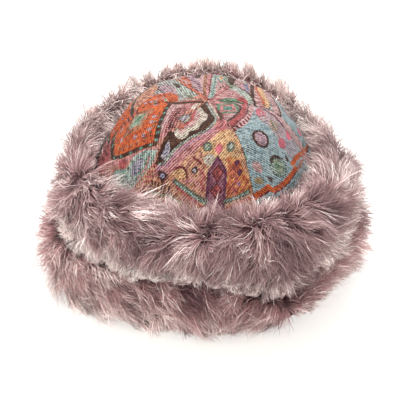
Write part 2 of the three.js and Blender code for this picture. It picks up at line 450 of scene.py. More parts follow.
# The charts of the gores, in millimetres across from the middle and down from the apex, painted in order
FRONT_STEPS = [
    (-1.4, 7), (1.6, 14.3), (4.8, 22.4), (7.6, 28.6), (8.2, 34), (4.6, 41.4), (1, 46.4), (-5, 51),
    (-11, 55.4), (-15.6, 59.6), (-20, 64), (-24.2, 68.6), (-27, 72.6), (-30.6, 78), (-34.6, 82),
    (-46, 83.8),
]
FRONT_CORNER = [(10, 33), (17, 36), (19, 46), (13, 47), (8, 44)]
FRONT_CHART = [
    ("all", "peach"),
    ("area", "salmon", [(-46, 88), (-24, 82), (-8, 68), (1, 58), (5, 76), (3, 100), (-4, 112),
        (-46, 112)]),
    ("bars", "peach", 6, 20, [(-46, 88), (-24, 82), (-8, 68), (1, 58), (5, 76), (3, 100), (-46, 112)]),
    ("area", "apricot", [(4, 46), (16, 40), (30, 60), (34, 84), (22, 82), (12, 70), (2, 74), (-2, 64)]),
    ("oval", "cream", 5.4, 73, 4.6, 4.8, 20),
    ("area", "gold", [(20, 72), (30, 74), (44, 100), (40, 104), (21, 106), (21, 86)]),
    ("bars", "coral", 5, 35, [(20, 74), (30, 76), (44, 100), (40, 104), (21, 106), (21, 86)]),
    ("area", "rose", [(0, 0), (14, 26), (24, 48), (14, 42), (8, 36), (9, 28), (4, 18), (-2, 8)]),
    ("bars", "cream", 4.4, 160, [(1, 6), (10, 20), (12, 34), (9, 28), (4, 18)]),
    ("bars", "brown", 4.8, 165, [(3, 6), (14, 26), (20, 42), (12, 36), (8, 20)]),
    ("line", "wine", 1.6, [(7, 14), (12, 24), (15, 33), (20, 42)]),
    ("area", "brown", [(0, 4), (1, 14), (4, 22), (6.4, 28.6), (7, 34), (3.4, 41), (0, 46.4), (-11.4, 55),
        (-20, 63.6), (-27, 72), (-30.6, 78), (-35, 81.7), (-46, 83), (-46, 40), (-10, 8)]),
    ("area", "cream", [(-8, 12), (-4.6, 17), (-2.4, 21), (0.6, 25), (1.2, 30), (-0.6, 34.5), (-4, 40),
        (-5.6, 46), (-10, 48), (-13, 50), (-13.6, 54), (-16.5, 57.4), (-21, 58.6), (-25, 56), (-27, 50),
        (-30, 42), (-20, 24)]),
    ("area", "palepink", [(-9, 18), (-6, 24), (-5, 30), (-8, 38), (-11, 44), (-14.6, 45), (-17, 51),
        (-21, 53.6), (-23, 50), (-24, 44), (-18, 32), (-12, 22)]),
    ("area", "salmon", [(-12, 20), (-10, 26), (-10, 35), (-14, 41), (-18, 46), (-22, 50), (-24, 46),
        (-18, 33)]),
    ("line", "redpink", 3.2, [(-11, 22), (-12, 33), (-16, 41), (-22, 46)]),
    ("oval", "coral", -20.4, 45.4, 2.6, 2.4), ("oval", "olive", -17.2, 34.4, 3.2, 6, 26),
    ("oval", "cream", -17.6, 34.4, 2.4, 4.8, 26), ("oval", "lavender", -19.6, 36.4, 1.4, 2.2),
    ("area", "lilac", [(-30.6, 60.7), (-28, 67), (-29, 74.5), (-33, 78.4), (-37, 75), (-37, 68.6),
        (-34, 63.6)]),
    ("bars", "lavender", 3.4, 75, [(-30, 62), (-29, 70), (-31, 76), (-36, 74), (-36, 66)]),
    ("line", "dark", 2.6, FRONT_STEPS), ("beads", "frost", 2.3, 1.15, FRONT_STEPS),
    ("line", "rose", 6.4, [(16, 36), (10, 45), (3, 54), (-9, 64), (-20, 74.4), (-25, 82.4), (-33, 88),
        (-46, 90)]),
    ("line", "magenta", 3, [(12, 38), (7, 44), (0, 51), (-13, 61.6), (-23.6, 72), (-28, 80), (-34, 85),
        (-46, 86.6)]),
    ("area", "redpink", FRONT_CORNER), ("bars", "rose", 3, 30, FRONT_CORNER),
    ("oval", "olive", 3.4, 62.4, 4, 4.2), ("oval", "sage", 3.4, 62.4, 2.4, 2.6),
    ("oval", "olive", 22.4, 63.6, 3.6, 4.6), ("oval", "frost", 22.4, 63.6, 1.6, 2.6),
    ("diamond", "pink", 12.6, 64.3, 3.6, 5.6),
    ("line", "wine", 1.9, [(-7.4, 72), (-4, 74), (-0.6, 76.4)]),
    ("oval", "apricot", -17.7, 86.4, 5.4, 4.6),
    ("line", "wine", 2, [(-21.6, 82.6), (-18, 80.8), (-14.6, 81.4), (-12.2, 84), (-11.4, 88.6)]),
    ("oval", "dark", -5.6, 82.1, 2.9, 2.9), ("oval", "lilac", -5.6, 82.1, 1.5, 1.5),
    ("area", "brown", [(-38.4, 88), (-32.7, 86.6), (-27, 89), (-32.7, 97.6)]),
    ("oval", "lavender", -32.7, 90.6, 2.1, 2.1),
    ("area", "plum", [(12.3, 69.6), (16, 76), (19.6, 81), (20.6, 86), (20.6, 118), (4.4, 118), (4.4, 84),
        (8, 77)]),
    ("area", "dusk", [(12.4, 73.4), (17, 80), (18.2, 86), (18.2, 118), (6.8, 118), (6.8, 83)]),
    ("diamond", "wine", 12.8, 84, 5.2, 7.4), ("diamond", "redpink", 12.8, 84, 3.8, 5.4),
    ("oval", "wine", 12.8, 84, 0.8, 0.8), ("diamond", "wine", 12.6, 98.2, 5.2, 7),
    ("diamond", "redpink", 12.6, 98.2, 3.8, 5.2), ("oval", "wine", 12.6, 98.2, 0.8, 0.8),
    ("line", "redpink", 1.9, [(28, 80), (24.6, 85), (29, 90), (24.6, 96), (30, 101)]),
    ("line", "coral", 3, [(22, 79), (25, 86), (21.6, 95), (25, 101)]),
    ("line", "redpink", 1.9, [(-2, 81), (2.4, 86), (0, 92), (3, 97)]),
    ("line", "rose", 1.9, [(-14, 92), (-6, 90), (0, 96)]), ("oval", "plum", 31.4, 85.6, 2.4, 2.6),
    ("oval", "plum", 28.7, 77.2, 2.3, 2.3), ("oval", "magenta", 30.9, 94.4, 1.8, 2),
    ("line", "olive", 4.4, [(-21, 93), (-12, 97.6), (-3, 103), (5, 107)]),
    ("line", "mint", 1.5, [(-20, 94), (-12, 98.4), (-3, 104), (4, 107.4)]),
    ("line", "redpink", 1.8, [(-20, 97), (-12, 101.6), (-4, 107), (2, 111)]),
    ("line", "olive", 3.8, [(20.6, 107), (30, 105), (40, 102.4)]),
    ("line", "mint", 1.3, [(21, 107), (30, 105), (39, 102.6)]),
    ("line", "coral", 3.2, [(23, 113), (34, 109), (48, 107)]),
    ("bars", "brown", 3.2, 8, [(-45, 96), (-24, 97), (-22, 110), (-44, 112)]),
    ("area", "leaf", [(-52, 106), (-24, 104), (-6, 112), (2, 122), (-52, 122)]),
    ("bars", "coral", 2.8, 40, [(-52, 108), (-24, 106), (-6, 114), (2, 122), (-52, 122)]),
]

RIGHT_CHART = [
    ("all", "sky"), ("area", "palepink", [(0, -2), (26, 48), (-28, 48)]),
    ("area", "rose", [(0, 0), (-7, 12), (-14, 27), (-6, 30), (4, 26), (7, 20), (3, 10)]),
    ("diamond", "green", -2.6, 21.6, 12.2, 12), ("diamond", "rose", -2.6, 21.4, 8.6, 8.6),
    ("diamond", "teal", -3.2, 21.2, 4.4, 4.8), ("oval", "olive", 6, 15, 2.4, 7, 155),
    ("line", "dark", 2.2, [(-18, 35), (-9, 33.6), (5, 29.6), (8.6, 23)]),
    ("line", "redpink", 4.4, [(-25, 42.6), (-16, 38), (-3, 35), (8, 31.4), (15, 28.6), (20, 31)]),
    ("line", "wine", 1.2, [(-26, 46), (-16, 41), (-3, 38), (9, 34.6), (17, 32)]),
    ("bars", "wine", 3.4, 20, [(-28, 47), (-16, 42.6), (2, 38.6), (2, 42), (-14, 46.6), (-28, 50)]),
    ("area", "sky", [(-34, 52), (-10, 46), (4, 41), (22, 38), (30, 60), (34, 100), (-50, 110)]),
    ("area", "lilac", [(4, 42), (21, 39), (23, 60), (22, 92), (3, 92), (2, 60)]),
    ("oval", "pink", 12.3, 45.7, 5.6, 4.6), ("oval", "leaf", 8.4, 61.4, 5.4, 5),
    ("oval", "green", 9.4, 61.4, 2, 2.8),
    ("bars", "palepink", 5, 20, [(2, 46), (20, 44), (22, 74), (4, 74)]),
    ("line", "plum", 2.4, [(19.6, 44), (20, 56), (20.4, 68), (23, 78), (25, 90)]),
    ("area", "palepink", [(21, 40), (26, 46), (46, 92), (46, 122), (27, 122), (25, 92), (21.6, 70)]),
    ("oval", "brown", -13.7, 64.3, 7.2, 8.6, 24), ("oval", "mauve", -13.7, 64.3, 5.2, 6.6, 24),
    ("oval", "pink", 4.4, 77.2, 5, 4.4), ("oval", "pink", 19.4, 77.2, 4.2, 4),
    ("oval", "palepink", -31.3, 85, 3.8, 5.2), ("oval", "mint", -12.7, 90.4, 7.6, 10),
    ("area", "dark", [(-19, 87), (-18, 82.4), (-12.6, 80.6), (-7.6, 82.6), (-6.4, 87), (-9.6, 86),
        (-12.6, 83.6), (-16, 86)]),
    ("oval", "sage", -12.7, 91.4, 5.2, 7), ("oval", "green", -13.4, 90.6, 2.4, 3),
    ("beads", "dark", 2.6, 0.9, [(-20.4, 86), (-20.4, 95), (-16, 99.6), (-9, 99.8), (-5.2, 95),
        (-5.4, 86)]),
    ("area", "dark", [(-29, 94), (-23, 97.4), (-26, 101)]), ("oval", "dark", 0.2, 90, 1.6, 3.2),
    ("oval", "green", -37, 74, 2.4, 4, 30), ("oval", "leaf", -36, 96, 4, 3.2),
    ("line", "wine", 1.6, [(-52, 112), (-30.6, 106.2), (-28, 110), (-15, 108.2), (5, 103.6)]),
    ("line", "orange", 4.4, [(-52, 109.4), (-30.6, 103), (-28.6, 107.6), (-15, 105.7), (5.4, 101)]),
    ("line", "orange", 4.8, [(4, 96), (12.3, 95), (20.9, 96.4), (26.6, 98.6), (40, 101)]),
    ("area", "salmon", [(6, 102), (16, 99.6), (26, 102), (26, 122), (6, 122)]),
    ("area", "sky", [(-52, 112), (-30, 107.6), (-27, 112), (-10, 109), (8, 105), (26, 103), (30, 124),
        (-52, 124)]),
    ("beads", "dark", 3, 0.8, [(-52, 114), (-31, 110), (-28, 114), (-10, 111), (8, 107)]),
    ("bars", "salmon", 4, 12, [(-52, 116), (-30, 113), (-8, 113), (10, 109), (20, 112), (20, 126),
        (-52, 126)]),
]

LEFT_PATCH = [(20, 84), (27, 84), (29, 97), (23, 100), (19, 93)]
LEFT_CHART = [
    ("all", "salmon"), ("area", "coral", [(0, 0), (-2, 10), (-8, 22), (-22, 40), (-30, 40), (-4, 4)]),
    ("area", "rose", [(0, 10), (2, 12), (8, 26), (21, 45), (27, 60), (25, 66), (20, 58), (9, 46),
        (-8, 33), (-9, 22)]),
    ("area", "rose", [(-10, 30), (-2, 21), (0, 33)]),
    ("area", "palepink", [(-8, 30), (-2, 22), (1, 24), (2, 34), (12, 44), (22, 58), (18, 58), (4, 44)]),
    ("bars", "wine", 2.9, 45, [(0, 22), (7, 24), (16, 36), (25, 52), (26, 60), (12, 44), (1, 32)]),
    ("beads", "brown", 2.3, 0.8, [(3, 26), (8, 34), (16, 41), (22, 52), (12, 40), (5, 31), (11, 33)]),
    ("area", "cream", [(2.6, 9), (5, 12), (9, 20), (6, 21), (3, 15)]),
    ("oval", "olive", 16.4, 33.4, 3.4, 6.2, -24), ("oval", "lilac", 16.8, 33.4, 2.6, 5, -24),
    ("area", "orange", [(-24, 36), (-12, 33), (0, 42), (10, 52), (20, 62), (23, 68), (15, 75), (9, 84),
        (0, 92), (-10, 97), (-19, 92), (-30, 89), (-52, 90), (-40, 60)]),
    ("diamond", "tan", -12.3, 63.6, 12.5, 19), ("diamond", "coral", -12.3, 63.6, 9.4, 14.5),
    ("diamond", "sage", -12.3, 63.2, 7.8, 11), ("oval", "green", -12.3, 61.6, 2.6, 3.4),
    ("beads", "tan", 6, 1.5, [(-2, 46), (11, 58), (14, 66), (6, 77), (-6, 90), (-20, 88)]),
    ("beads", "mauve", 8.4, 2.1, [(-5, 47.7), (5.4, 56.6), (11.6, 64.4), (5, 69.6), (-2, 76)]),
    ("beads", "mauve", 9, 2.2, [(-14, 42), (-26, 46.6), (-33, 60), (-31, 77.9), (-19, 83), (-6, 85)]),
    ("beads", "wine", 7, 0.9, [(-6, 42), (4, 50), (14, 60), (17, 68), (6, 80), (-4, 90), (-16, 88),
        (-30, 85)]),
    ("bars", "wine", 4.6, 80, [(-50, 62), (-22, 58), (-20, 68), (-30, 84), (-50, 88)]),
    ("line", "brown", 4.2, [(1, 7), (-4, 18), (-8.6, 28), (-14, 33), (-24, 38)]),
    ("line", "brown", 4, [(-11, 31), (-6, 36.4), (2.3, 43), (10.9, 51.6), (20.9, 61.6), (25, 68.6),
        (19.4, 73), (12.3, 80.2), (5.1, 88.8), (-3.4, 96.6), (-10.6, 99.6), (-19.1, 94.6), (-30.6, 91.8),
        (-52, 92)]),
    ("beads", "teal", 8.6, 1.4, [(-8, 34), (2.3, 43), (10.9, 51.6), (20.9, 61.6), (25, 68.6), (19.4, 73),
        (5.1, 88.8), (-3.4, 96.6), (-10.6, 99.6), (-30.6, 91.8), (-52, 92)]),
    ("area", "brown", [(-52, 88), (-36, 88.6), (-26, 91.4), (-14, 96.6), (-14, 100), (-26, 98),
        (-52, 97)]),
    ("beads", "green", 9, 1.9, [(-50, 91.4), (-34, 91), (-18, 95.6)]),
    ("line", "rose", 4, [(29, 72), (20, 79), (12, 89), (3, 98), (-8, 105), (-20, 103), (-34, 99)]),
    ("area", "redpink", [(-52, 97), (-34, 98), (-19, 100), (-11, 104), (-14, 122), (-52, 122)]),
    ("bars", "wine", 5.2, 75, [(-52, 98), (-34, 99), (-22, 102), (-22, 112), (-52, 114)]),
    ("area", "redpink", [(2, 97), (6, 93), (12, 93), (13, 99), (6, 101)]),
    ("area", "mint", [(30, 72), (34, 80), (35, 92), (31, 108), (26, 122), (2, 122), (4, 104), (15, 98),
        (15, 85), (21, 76)]),
    ("bars", "frost", 4, 25, [(21, 76), (30, 72), (34, 80), (35, 92), (31, 108), (15, 108), (15, 85)]),
    ("area", "lilac", LEFT_PATCH), ("bars", "lavender", 3, 60, LEFT_PATCH),
    ("line", "rose", 2, [(29, 80), (32, 90), (31, 100)]),
    ("beads", "green", 4.8, 0.9, [(20, 80), (30, 84), (31, 98), (24, 106), (14, 112), (17, 90)]),
    ("line", "brown", 3.2, [(26, 54), (30, 62), (35, 74), (38, 82)]),
    ("area", "peach", [(34, 90), (40, 84), (50, 104), (50, 122), (36, 122)]),
    ("bars", "redpink", 4.4, 65, [(35, 84), (41, 84), (49, 110), (49, 122), (38, 122)]),
]

BACK_RIGHT_CHART = [
    ("all", "palepink"), ("area", "rose", [(0, 0), (18, 34), (-18, 34)]),
    ("bars", "palepink", 5, 30, [(0, 4), (16, 30), (-10, 30)]),
    ("beads", "wine", 4.4, 0.7, [(3, 10), (8, 18), (12, 26), (4, 26), (-2, 18), (4, 20)]),
    ("area", "green", [(-4, 8), (-3, 14), (-8, 26), (-16, 30), (-8, 12)]),
    ("area", "redpink", [(-9, 23), (-5, 26), (-7, 33), (-20, 35)]),
    ("area", "frost", [(-18, 34), (-2, 29), (14, 28), (20, 35), (4, 37), (-20, 37)]),
    ("line", "dark", 2, [(-24, 40), (-8, 37.6), (8, 36.6), (24, 38)]),
    ("bars", "rose", 6, 0, [(-28, 42), (-4, 41), (-4, 50), (-30, 52)]),
    ("area", "grey", [(-28, 50), (-14, 50), (-6, 55), (-20, 58), (-34, 60)]),
    ("line", "lavender", 3.4, [(4, 39), (16, 45), (30, 58)]),
    ("line", "magenta", 3, [(8, 38), (18, 42), (32, 54)]),
    ("line", "brown", 3.4, [(-9, 38), (2, 42), (14, 50), (30, 64)]),
    ("line", "apricot", 5, [(-22, 50), (-8, 49), (6, 53), (20, 62), (34, 76)]),
    ("line", "coral", 2.4, [(-20, 47), (-6, 46), (8, 50), (22, 60), (36, 74)]),
    ("line", "palepink", 6, [(-32, 60), (-12, 56), (4, 60), (18, 70), (34, 86)]),
    ("line", "brown", 2, [(-34, 65), (-12, 60), (4, 64), (18, 74), (34, 88)]),
    ("area", "sky", [(-38, 68), (-12, 62), (4, 66), (16, 75), (34, 90), (50, 122), (-50, 122)]),
    ("oval", "brown", -16, 76, 6.6, 8.6, 12), ("oval", "mauve", -16, 76, 4.6, 6.2, 12),
    ("oval", "pink", 6, 76, 4.6, 4.4), ("oval", "olive", 12, 96, 8, 9.8),
    ("oval", "green", 12, 96, 5.4, 7.2), ("oval", "pink", -30, 92, 4.4, 4.6),
    ("area", "dark", [(-6, 92), (0, 94), (-4, 99)]),
    ("line", "wine", 1.2, [(-52, 106), (-30, 110), (-28, 105.4), (-6, 110), (18, 113), (20, 108.4),
        (52, 113)]),
    ("line", "orange", 3.6, [(-52, 103.4), (-30, 107.6), (-28, 103), (-6, 107.6), (18, 110.6), (20, 106),
        (52, 110.6)]),
]

BACK_LEFT_STEM = [(-46, 96), (-28, 102), (-10, 110)]
BACK_RIGHT_STEM = [(46, 96), (28, 102), (10, 110)]
BACK_CHART = [
    ("all", "palepink"), ("area", "rose", [(0, 0), (-6, 14), (-14, 34), (-22, 42), (-4, 6)]),
    ("beads", "wine", 4, 0.9, [(-6, 16), (-9, 26), (-13, 34), (-7, 24)]),
    ("area", "mauve", [(5, 8), (14, 26), (24, 46), (30, 58), (14, 58), (8, 30)]),
    ("beads", "plum", 3.2, 1, [(8, 20), (10, 30), (16, 40), (14, 50), (18, 57)]),
    ("area", "brown", [(9, 44), (13, 42), (14, 57), (9, 57)]),
    ("area", "coral", [(14, 26), (18, 32), (32, 58), (22, 58), (17, 40)]),
    ("line", "palepink", 2.4, [(18, 36), (30, 58)]),
    ("line", "rose", 3.6, [(1.2, 2), (2.4, 20), (2.6, 57)]),
    ("line", "tan", 2.4, [(3.6, 6), (4.8, 24), (5.4, 57)]),
    ("line", "wine", 0.9, [(0.2, 4), (0.6, 24), (0.6, 57)]),
    ("area", "brown", [(-19, 40), (-16, 34), (-13, 40), (-12, 57), (-20, 57)]),
    ("line", "green", 2.2, [(-22, 42), (-17, 33), (-11, 42), (-11, 57)]),
    ("diamond", "green", -7.4, 46, 4.6, 13), ("diamond", "frost", -7.4, 46, 3.4, 10),
    ("diamond", "gold", -7.4, 47, 1.8, 5.6),
    ("line", "mint", 3.6, [(-1, 4), (-2.6, 14), (-2, 24), (-3, 32), (-1.8, 40), (-2.6, 48), (-1.6, 57)]),
    ("beads", "dark", 3.4, 0.8, [(-2.6, 8), (-2.8, 30), (-2.2, 57)]),
    ("line", "mint", 2.2, [(-34, 59), (34, 59)]), ("line", "magenta", 3.4, [(-36, 62.4), (36, 62.4)]),
    ("area", "peach", [(-36, 64), (36, 64), (54, 124), (-54, 124)]),
    ("area", "plum", [(0, 66), (8, 78), (9, 82), (9, 116), (-9, 116), (-9, 82), (-8, 78)]),
    ("area", "salmon", [(0, 71), (5.4, 80), (5.6, 112), (-5.6, 112), (-5.4, 80)]),
    ("diamond", "wine", 0, 82, 5.4, 7.2), ("diamond", "coral", 0, 82, 3.7, 5),
    ("diamond", "wine", 0, 97, 5.4, 7.2), ("diamond", "coral", 0, 97, 3.7, 5),
    ("oval", "olive", -18, 74, 4.2, 4.4), ("oval", "mint", -18, 74, 1.7, 1.8),
    ("oval", "olive", 18, 74, 4.2, 4.4), ("oval", "mint", 18, 74, 1.7, 1.8),
    ("diamond", "pink", -30, 80, 3.6, 5.6), ("diamond", "pink", 30, 80, 3.6, 5.6),
    ("oval", "plum", -22, 90, 2.6, 2.8), ("oval", "plum", 22, 90, 2.6, 2.8),
    ("line", "olive", 4.2, BACK_LEFT_STEM), ("line", "mint", 1.5, BACK_LEFT_STEM),
    ("line", "olive", 4.2, BACK_RIGHT_STEM), ("line", "mint", 1.5, BACK_RIGHT_STEM),
]

SHELL_PATCH = [(-2, 50), (10, 47), (20, 54), (36, 66), (10, 64), (-14, 60)]
SHELL_BAND = [(-36, 62), (-10, 62), (12, 66), (38, 68)]
SHELL_WAVE = [(-52, 104), (-20, 102), (0, 106), (20, 102), (52, 104)]
BACK_LEFT_CHART = [
    ("all", "grey"),
    ("area", "frost", [(-2, 8), (4, 12), (6, 26), (-6, 36), (-24, 58), (-32, 58), (-18, 32)]),
    ("area", "salmon", [(0, 0), (5, 10), (9, 22), (4, 14), (-4, 10)]),
    ("line", "coral", 4.6, [(-1, 2), (-6, 14), (-14, 30), (-31, 58)]),
    ("line", "wine", 1, [(-3, 12), (-9, 26), (-16, 40)]), ("oval", "olive", 3.4, 16, 1.8, 4, 15),
    ("oval", "dark", -9.6, 37, 2, 6.4, 38), ("oval", "dark", -1, 48, 2, 5, 50),
    ("area", "mauve", [(5, 27), (7, 36), (0, 48), (-10, 50), (-4, 34)]),
    ("beads", "plum", 5, 0.9, [(1, 32), (4, 40), (-2, 44)]),
    ("area", "coral", [(6, 26), (13, 25), (30, 54), (34, 64), (16, 52), (9, 44), (4, 34)]),
    ("bars", "orange", 5, 40, [(7, 26), (13, 26), (30, 54), (34, 64), (16, 52), (9, 44)]),
    ("beads", "sage", 8, 1.5, [(14, 31), (19, 40), (24, 50)]),
    ("beads", "mauve", 7, 1.4, [(12, 36), (20, 46), (25, 56)]),
    ("beads", "wine", 5, 1, [(8, 31), (10, 40), (14, 48), (22, 56)]), ("area", "salmon", SHELL_PATCH),
    ("bars", "peach", 6, 30, SHELL_PATCH),
    ("beads", "wine", 6, 0.9, [(4, 52), (14, 56), (24, 62), (6, 60)]), ("line", "brown", 4, SHELL_BAND),
    ("area", "orange", [(-40, 66), (-10, 65), (12, 69), (40, 71), (50, 104), (-50, 104)]),
    ("diamond", "tan", 0, 85, 20, 15), ("diamond", "leaf", 0, 85, 12, 8.6),
    ("beads", "magenta", 9, 1.7, [(-34, 74), (-20, 74), (-10, 70), (12, 74), (24, 78), (36, 84)]),
    ("beads", "magenta", 9, 1.7, [(-40, 92), (-24, 94), (-10, 98), (10, 98), (24, 94), (40, 96)]),
    ("line", "brown", 4, SHELL_WAVE), ("beads", "teal", 8.6, 1.4, SHELL_WAVE),
    ("beads", "teal", 8.6, 1.4, SHELL_BAND),
    ("area", "rose", [(-52, 107), (-20, 105), (0, 109), (20, 105), (52, 107), (52, 124), (-52, 124)]),
]

# Each gore: its name, the azimuth of its middle, its chart and the way its twill runs
GORES = [
    ("gore_front", -4.0, FRONT_CHART, 1),
    ("gore_front_right", 56.0, RIGHT_CHART, -1),
    ("gore_back_right", 116.0, BACK_RIGHT_CHART, 1),
    ("gore_back", 176.0, BACK_CHART, -1),
    ("gore_back_left", 236.0, BACK_LEFT_CHART, 1),
    ("gore_front_left", 296.0, LEFT_CHART, -1),
]


# The shapes of the charts: each is true where its yarn shows
def in_area(u, v, points):
    inside = np.zeros(u.shape, bool)
    for (u0, v0), (u1, v1) in zip(points, points[1:] + points[:1]):
        if v0 == v1:
            continue
        crosses = (v0 > v) != (v1 > v)
        inside ^= crosses & (u < u0 + (v - v0) * (u1 - u0) / (v1 - v0))
    return inside


def in_line(u, v, width, points):
    nearest = np.full(u.shape, 1e9)
    for (u0, v0), (u1, v1) in zip(points, points[1:]):
        length = max((u1 - u0) ** 2 + (v1 - v0) ** 2, 1e-9)
        along = np.clip(((u - u0) * (u1 - u0) + (v - v0) * (v1 - v0)) / length, 0, 1)
        nearest = np.minimum(nearest, np.hypot(u - u0 - along * (u1 - u0), v - v0 - along * (v1 - v0)))
    return nearest < width / 2


def in_oval(u, v, u0, v0, wide, high, turn=0):
    angle = math.radians(turn)
    a = (u - u0) * math.cos(angle) + (v - v0) * math.sin(angle)
    b = (v - v0) * math.cos(angle) - (u - u0) * math.sin(angle)
    return (a / wide) ** 2 + (b / high) ** 2 < 1


def in_diamond(u, v, u0, v0, wide, high):
    return abs(u - u0) / wide + abs(v - v0) / high < 1


def in_beads(u, v, spacing, radius, points):
    found = np.zeros(u.shape, bool)
    for (u0, v0), (u1, v1) in zip(points, points[1:]):
        length = math.hypot(u1 - u0, v1 - v0)
        count = max(1, round(length / spacing))
        for number in range(count):
            along = (number + 0.5) / count
            found |= np.hypot(u - u0 - along * (u1 - u0), v - v0 - along * (v1 - v0)) < radius
    return found


def in_bars(u, v, pitch, turn, points):
    angle = math.radians(turn)
    phase = (u * math.cos(angle) + v * math.sin(angle)) / pitch % 1
    return in_area(u, v, points) & (phase < BAR_SHARE)


CHART_SHAPES = {
    "all": lambda u, v: np.ones(u.shape, bool),
    "area": in_area,
    "line": in_line,
    "oval": in_oval,
    "diamond": in_diamond,
    "beads": in_beads,
    "bars": in_bars,
}


def woven_colours(u, v, chart, twill, seed):
    """The colour of each cell of cloth: the chart's yarns, with flecks that lie along the twill."""
    random = np.random.default_rng(seed)
    shade = 1 + CELL_SHADE * (random.random(u.shape) - 0.5)
    wobble_u = u + CELL_WOBBLE * (random.random(u.shape) - 0.5)
    wobble_v = v + CELL_WOBBLE * (random.random(u.shape) - 0.5)
    chances = random.random((FLECK_TABLE, FLECK_TABLE))
    rib = np.floor((u * twill * TWILL_ACROSS + v * TWILL_DOWN) / FLECK_WIDTH).astype(int)
    start = chances[0, rib % FLECK_TABLE]
    stitch = np.floor((u * twill * TWILL_DOWN - v * TWILL_ACROSS) / FLECK_LENGTH + start).astype(int)
    fleck = chances[rib % (FLECK_TABLE - 1) + 1, stitch % FLECK_TABLE]
    colours = np.zeros((*u.shape, 4))
    for shape, yarn, *numbers in chart:
        ground, other, share = YARNS[yarn]
        mask = CHART_SHAPES[shape](wobble_u, wobble_v, *numbers)
        choice = np.where((fleck < share)[..., None], srgb(other), srgb(ground))
        colours = np.where(mask[..., None], choice, colours)
    colours[..., :3] *= shade[..., None]
    return colours


# Crown
def gore_surface(along, across, middle, depth, pucker=0.0):
    """Points of a gore from its length below the apex, place between its seams, and depth in the cloth."""
    radius, height = crown_at(along)
    slope_radius = np.interp(along, CURVE_LENGTH, np.gradient(CURVE_RADIUS, CURVE_LENGTH))
    slope_height = np.interp(along, CURVE_LENGTH, np.gradient(CURVE_HEIGHT, CURVE_LENGTH))
    fade = np.minimum(1, radius / PUCKER_START)
    near_seam = abs(across) ** SEAM_SHARPNESS * fade
    waves = 0.5 + 0.5 * np.sin(along * PUCKER_PITCH + PUCKER_SWAY * np.sin(along * PUCKER_DRIFT + middle))
    down, over, slant = SLACK_PITCH
    slack = np.sin(along * down + middle * 3) * np.sin(across * over + along * slant) * (1 - across**2)
    sunk = fade * (PUCKER_DEPTH * near_seam * waves + SLACK_DEPTH * slack)
    inward = depth + SEAM_DIP * near_seam + pucker * sunk
    place = np.maximum(GORE_TIP_RADIUS, radius + slope_height * inward)
    half = math.pi / GORE_COUNT - np.arcsin(SEAM_GAP / 2 / place)
    return hat_point(place, middle + across * half, height - slope_radius * inward)


def make_gore(settings, name, middle_degrees, chart, twill, number, material):
    """One gore: its outer face in fine cells, a plain inner face, and the edges between them."""
    middle = math.radians(middle_degrees)
    fine = np.linspace(GORE_TIP_RADIUS, FINE_CLOTH_END, settings.cloth_rows + 1)
    coarse = np.linspace(FINE_CLOTH_END, GORE_LENGTH, COARSE_ROWS)[1:]
    across = np.linspace(-1, 1, settings.cloth_columns + 1)
    grid_along, grid_across = np.meshgrid(np.concatenate([fine, coarse]), across, indexing="ij")
    outer = gore_surface(grid_along, grid_across, middle, 0.0, 1.0)
    rows, columns = INNER_GRID
    inner_rows = np.linspace(GORE_TIP_RADIUS, GORE_LENGTH, rows)
    inner_along, inner_across = np.meshgrid(inner_rows, np.linspace(-1, 1, columns), indexing="ij")
    inner = gore_surface(inner_along, inner_across, middle, CLOTH_THICKNESS)
    points = np.concatenate([outer.reshape(-1, 3), inner.reshape(-1, 3)])
    outer_index = number_grid(outer.shape)
    inner_index = number_grid(inner.shape, outer_index.size)
    outer_faces = turned_over(grid_faces(outer_index))
    edges = [
        zip_edges(outer_index[side].tolist(), inner_index[side].tolist())
        for side in (0, -1, (slice(None), 0), (slice(None), -1))
    ]
    rims = edges[0] + turned_over(edges[1]) + turned_over(edges[2]) + edges[3]
    gore = new_object(f"cloth_{name}", points, outer_faces + grid_faces(inner_index) + rims, material)
    mesh = gore.data

    cell_along = (grid_along[:-1, :-1] + grid_along[1:, 1:]) / 2
    cell_across = (grid_across[:-1, :-1] + grid_across[1:, 1:]) / 2
    place = cell_across * half_width(cell_along)
    colours = woven_colours(place, cell_along, chart, twill, CELL_SEED + number)
    face_colours = np.tile(np.array(srgb(LINING_COLOUR)), (len(mesh.polygons), 1))
    face_colours[: len(outer_faces)] = colours.reshape(-1, 4)
    counts = np.array([polygon.loop_total for polygon in mesh.polygons])
    set_attribute(mesh, "yarn", "FLOAT_COLOR", np.repeat(face_colours, counts, axis=0), "CORNER")

    grids = ((grid_across, grid_along), (inner_across, inner_along))
    flat_u = np.concatenate([(side * half_width(down)).ravel() for side, down in grids])
    flat_v = np.concatenate([down.ravel() for _, down in grids])
    loops = np.zeros(len(mesh.loops), int)
    mesh.loops.foreach_get("vertex_index", loops)
    flat = np.stack([flat_u[loops] * twill, flat_v[loops]], -1) / CLOTH_MAP_SIZE
    mesh.uv_layers.new(name="cloth").data.foreach_set("uv", flat.astype(np.float32).ravel())
    mesh.polygons.foreach_set("use_smooth", np.arange(len(mesh.polygons)) < len(outer_faces))
    mesh.update()

    level = gore_surface(grid_along, grid_across, middle, 0.0)
    steps_down = np.diff(level, axis=0)[:, :-1]
    steps_across = np.diff(level, axis=1)[:-1]
    place_piece(gore, "jacquard", name)


def randomly(nodes, number):
    """A random value between 0 and 1 that belongs to a number."""
    return nodes.add("ShaderNodeTexWhiteNoise", {"noise_dimensions": "1D"}, {"W": number})["Value"]


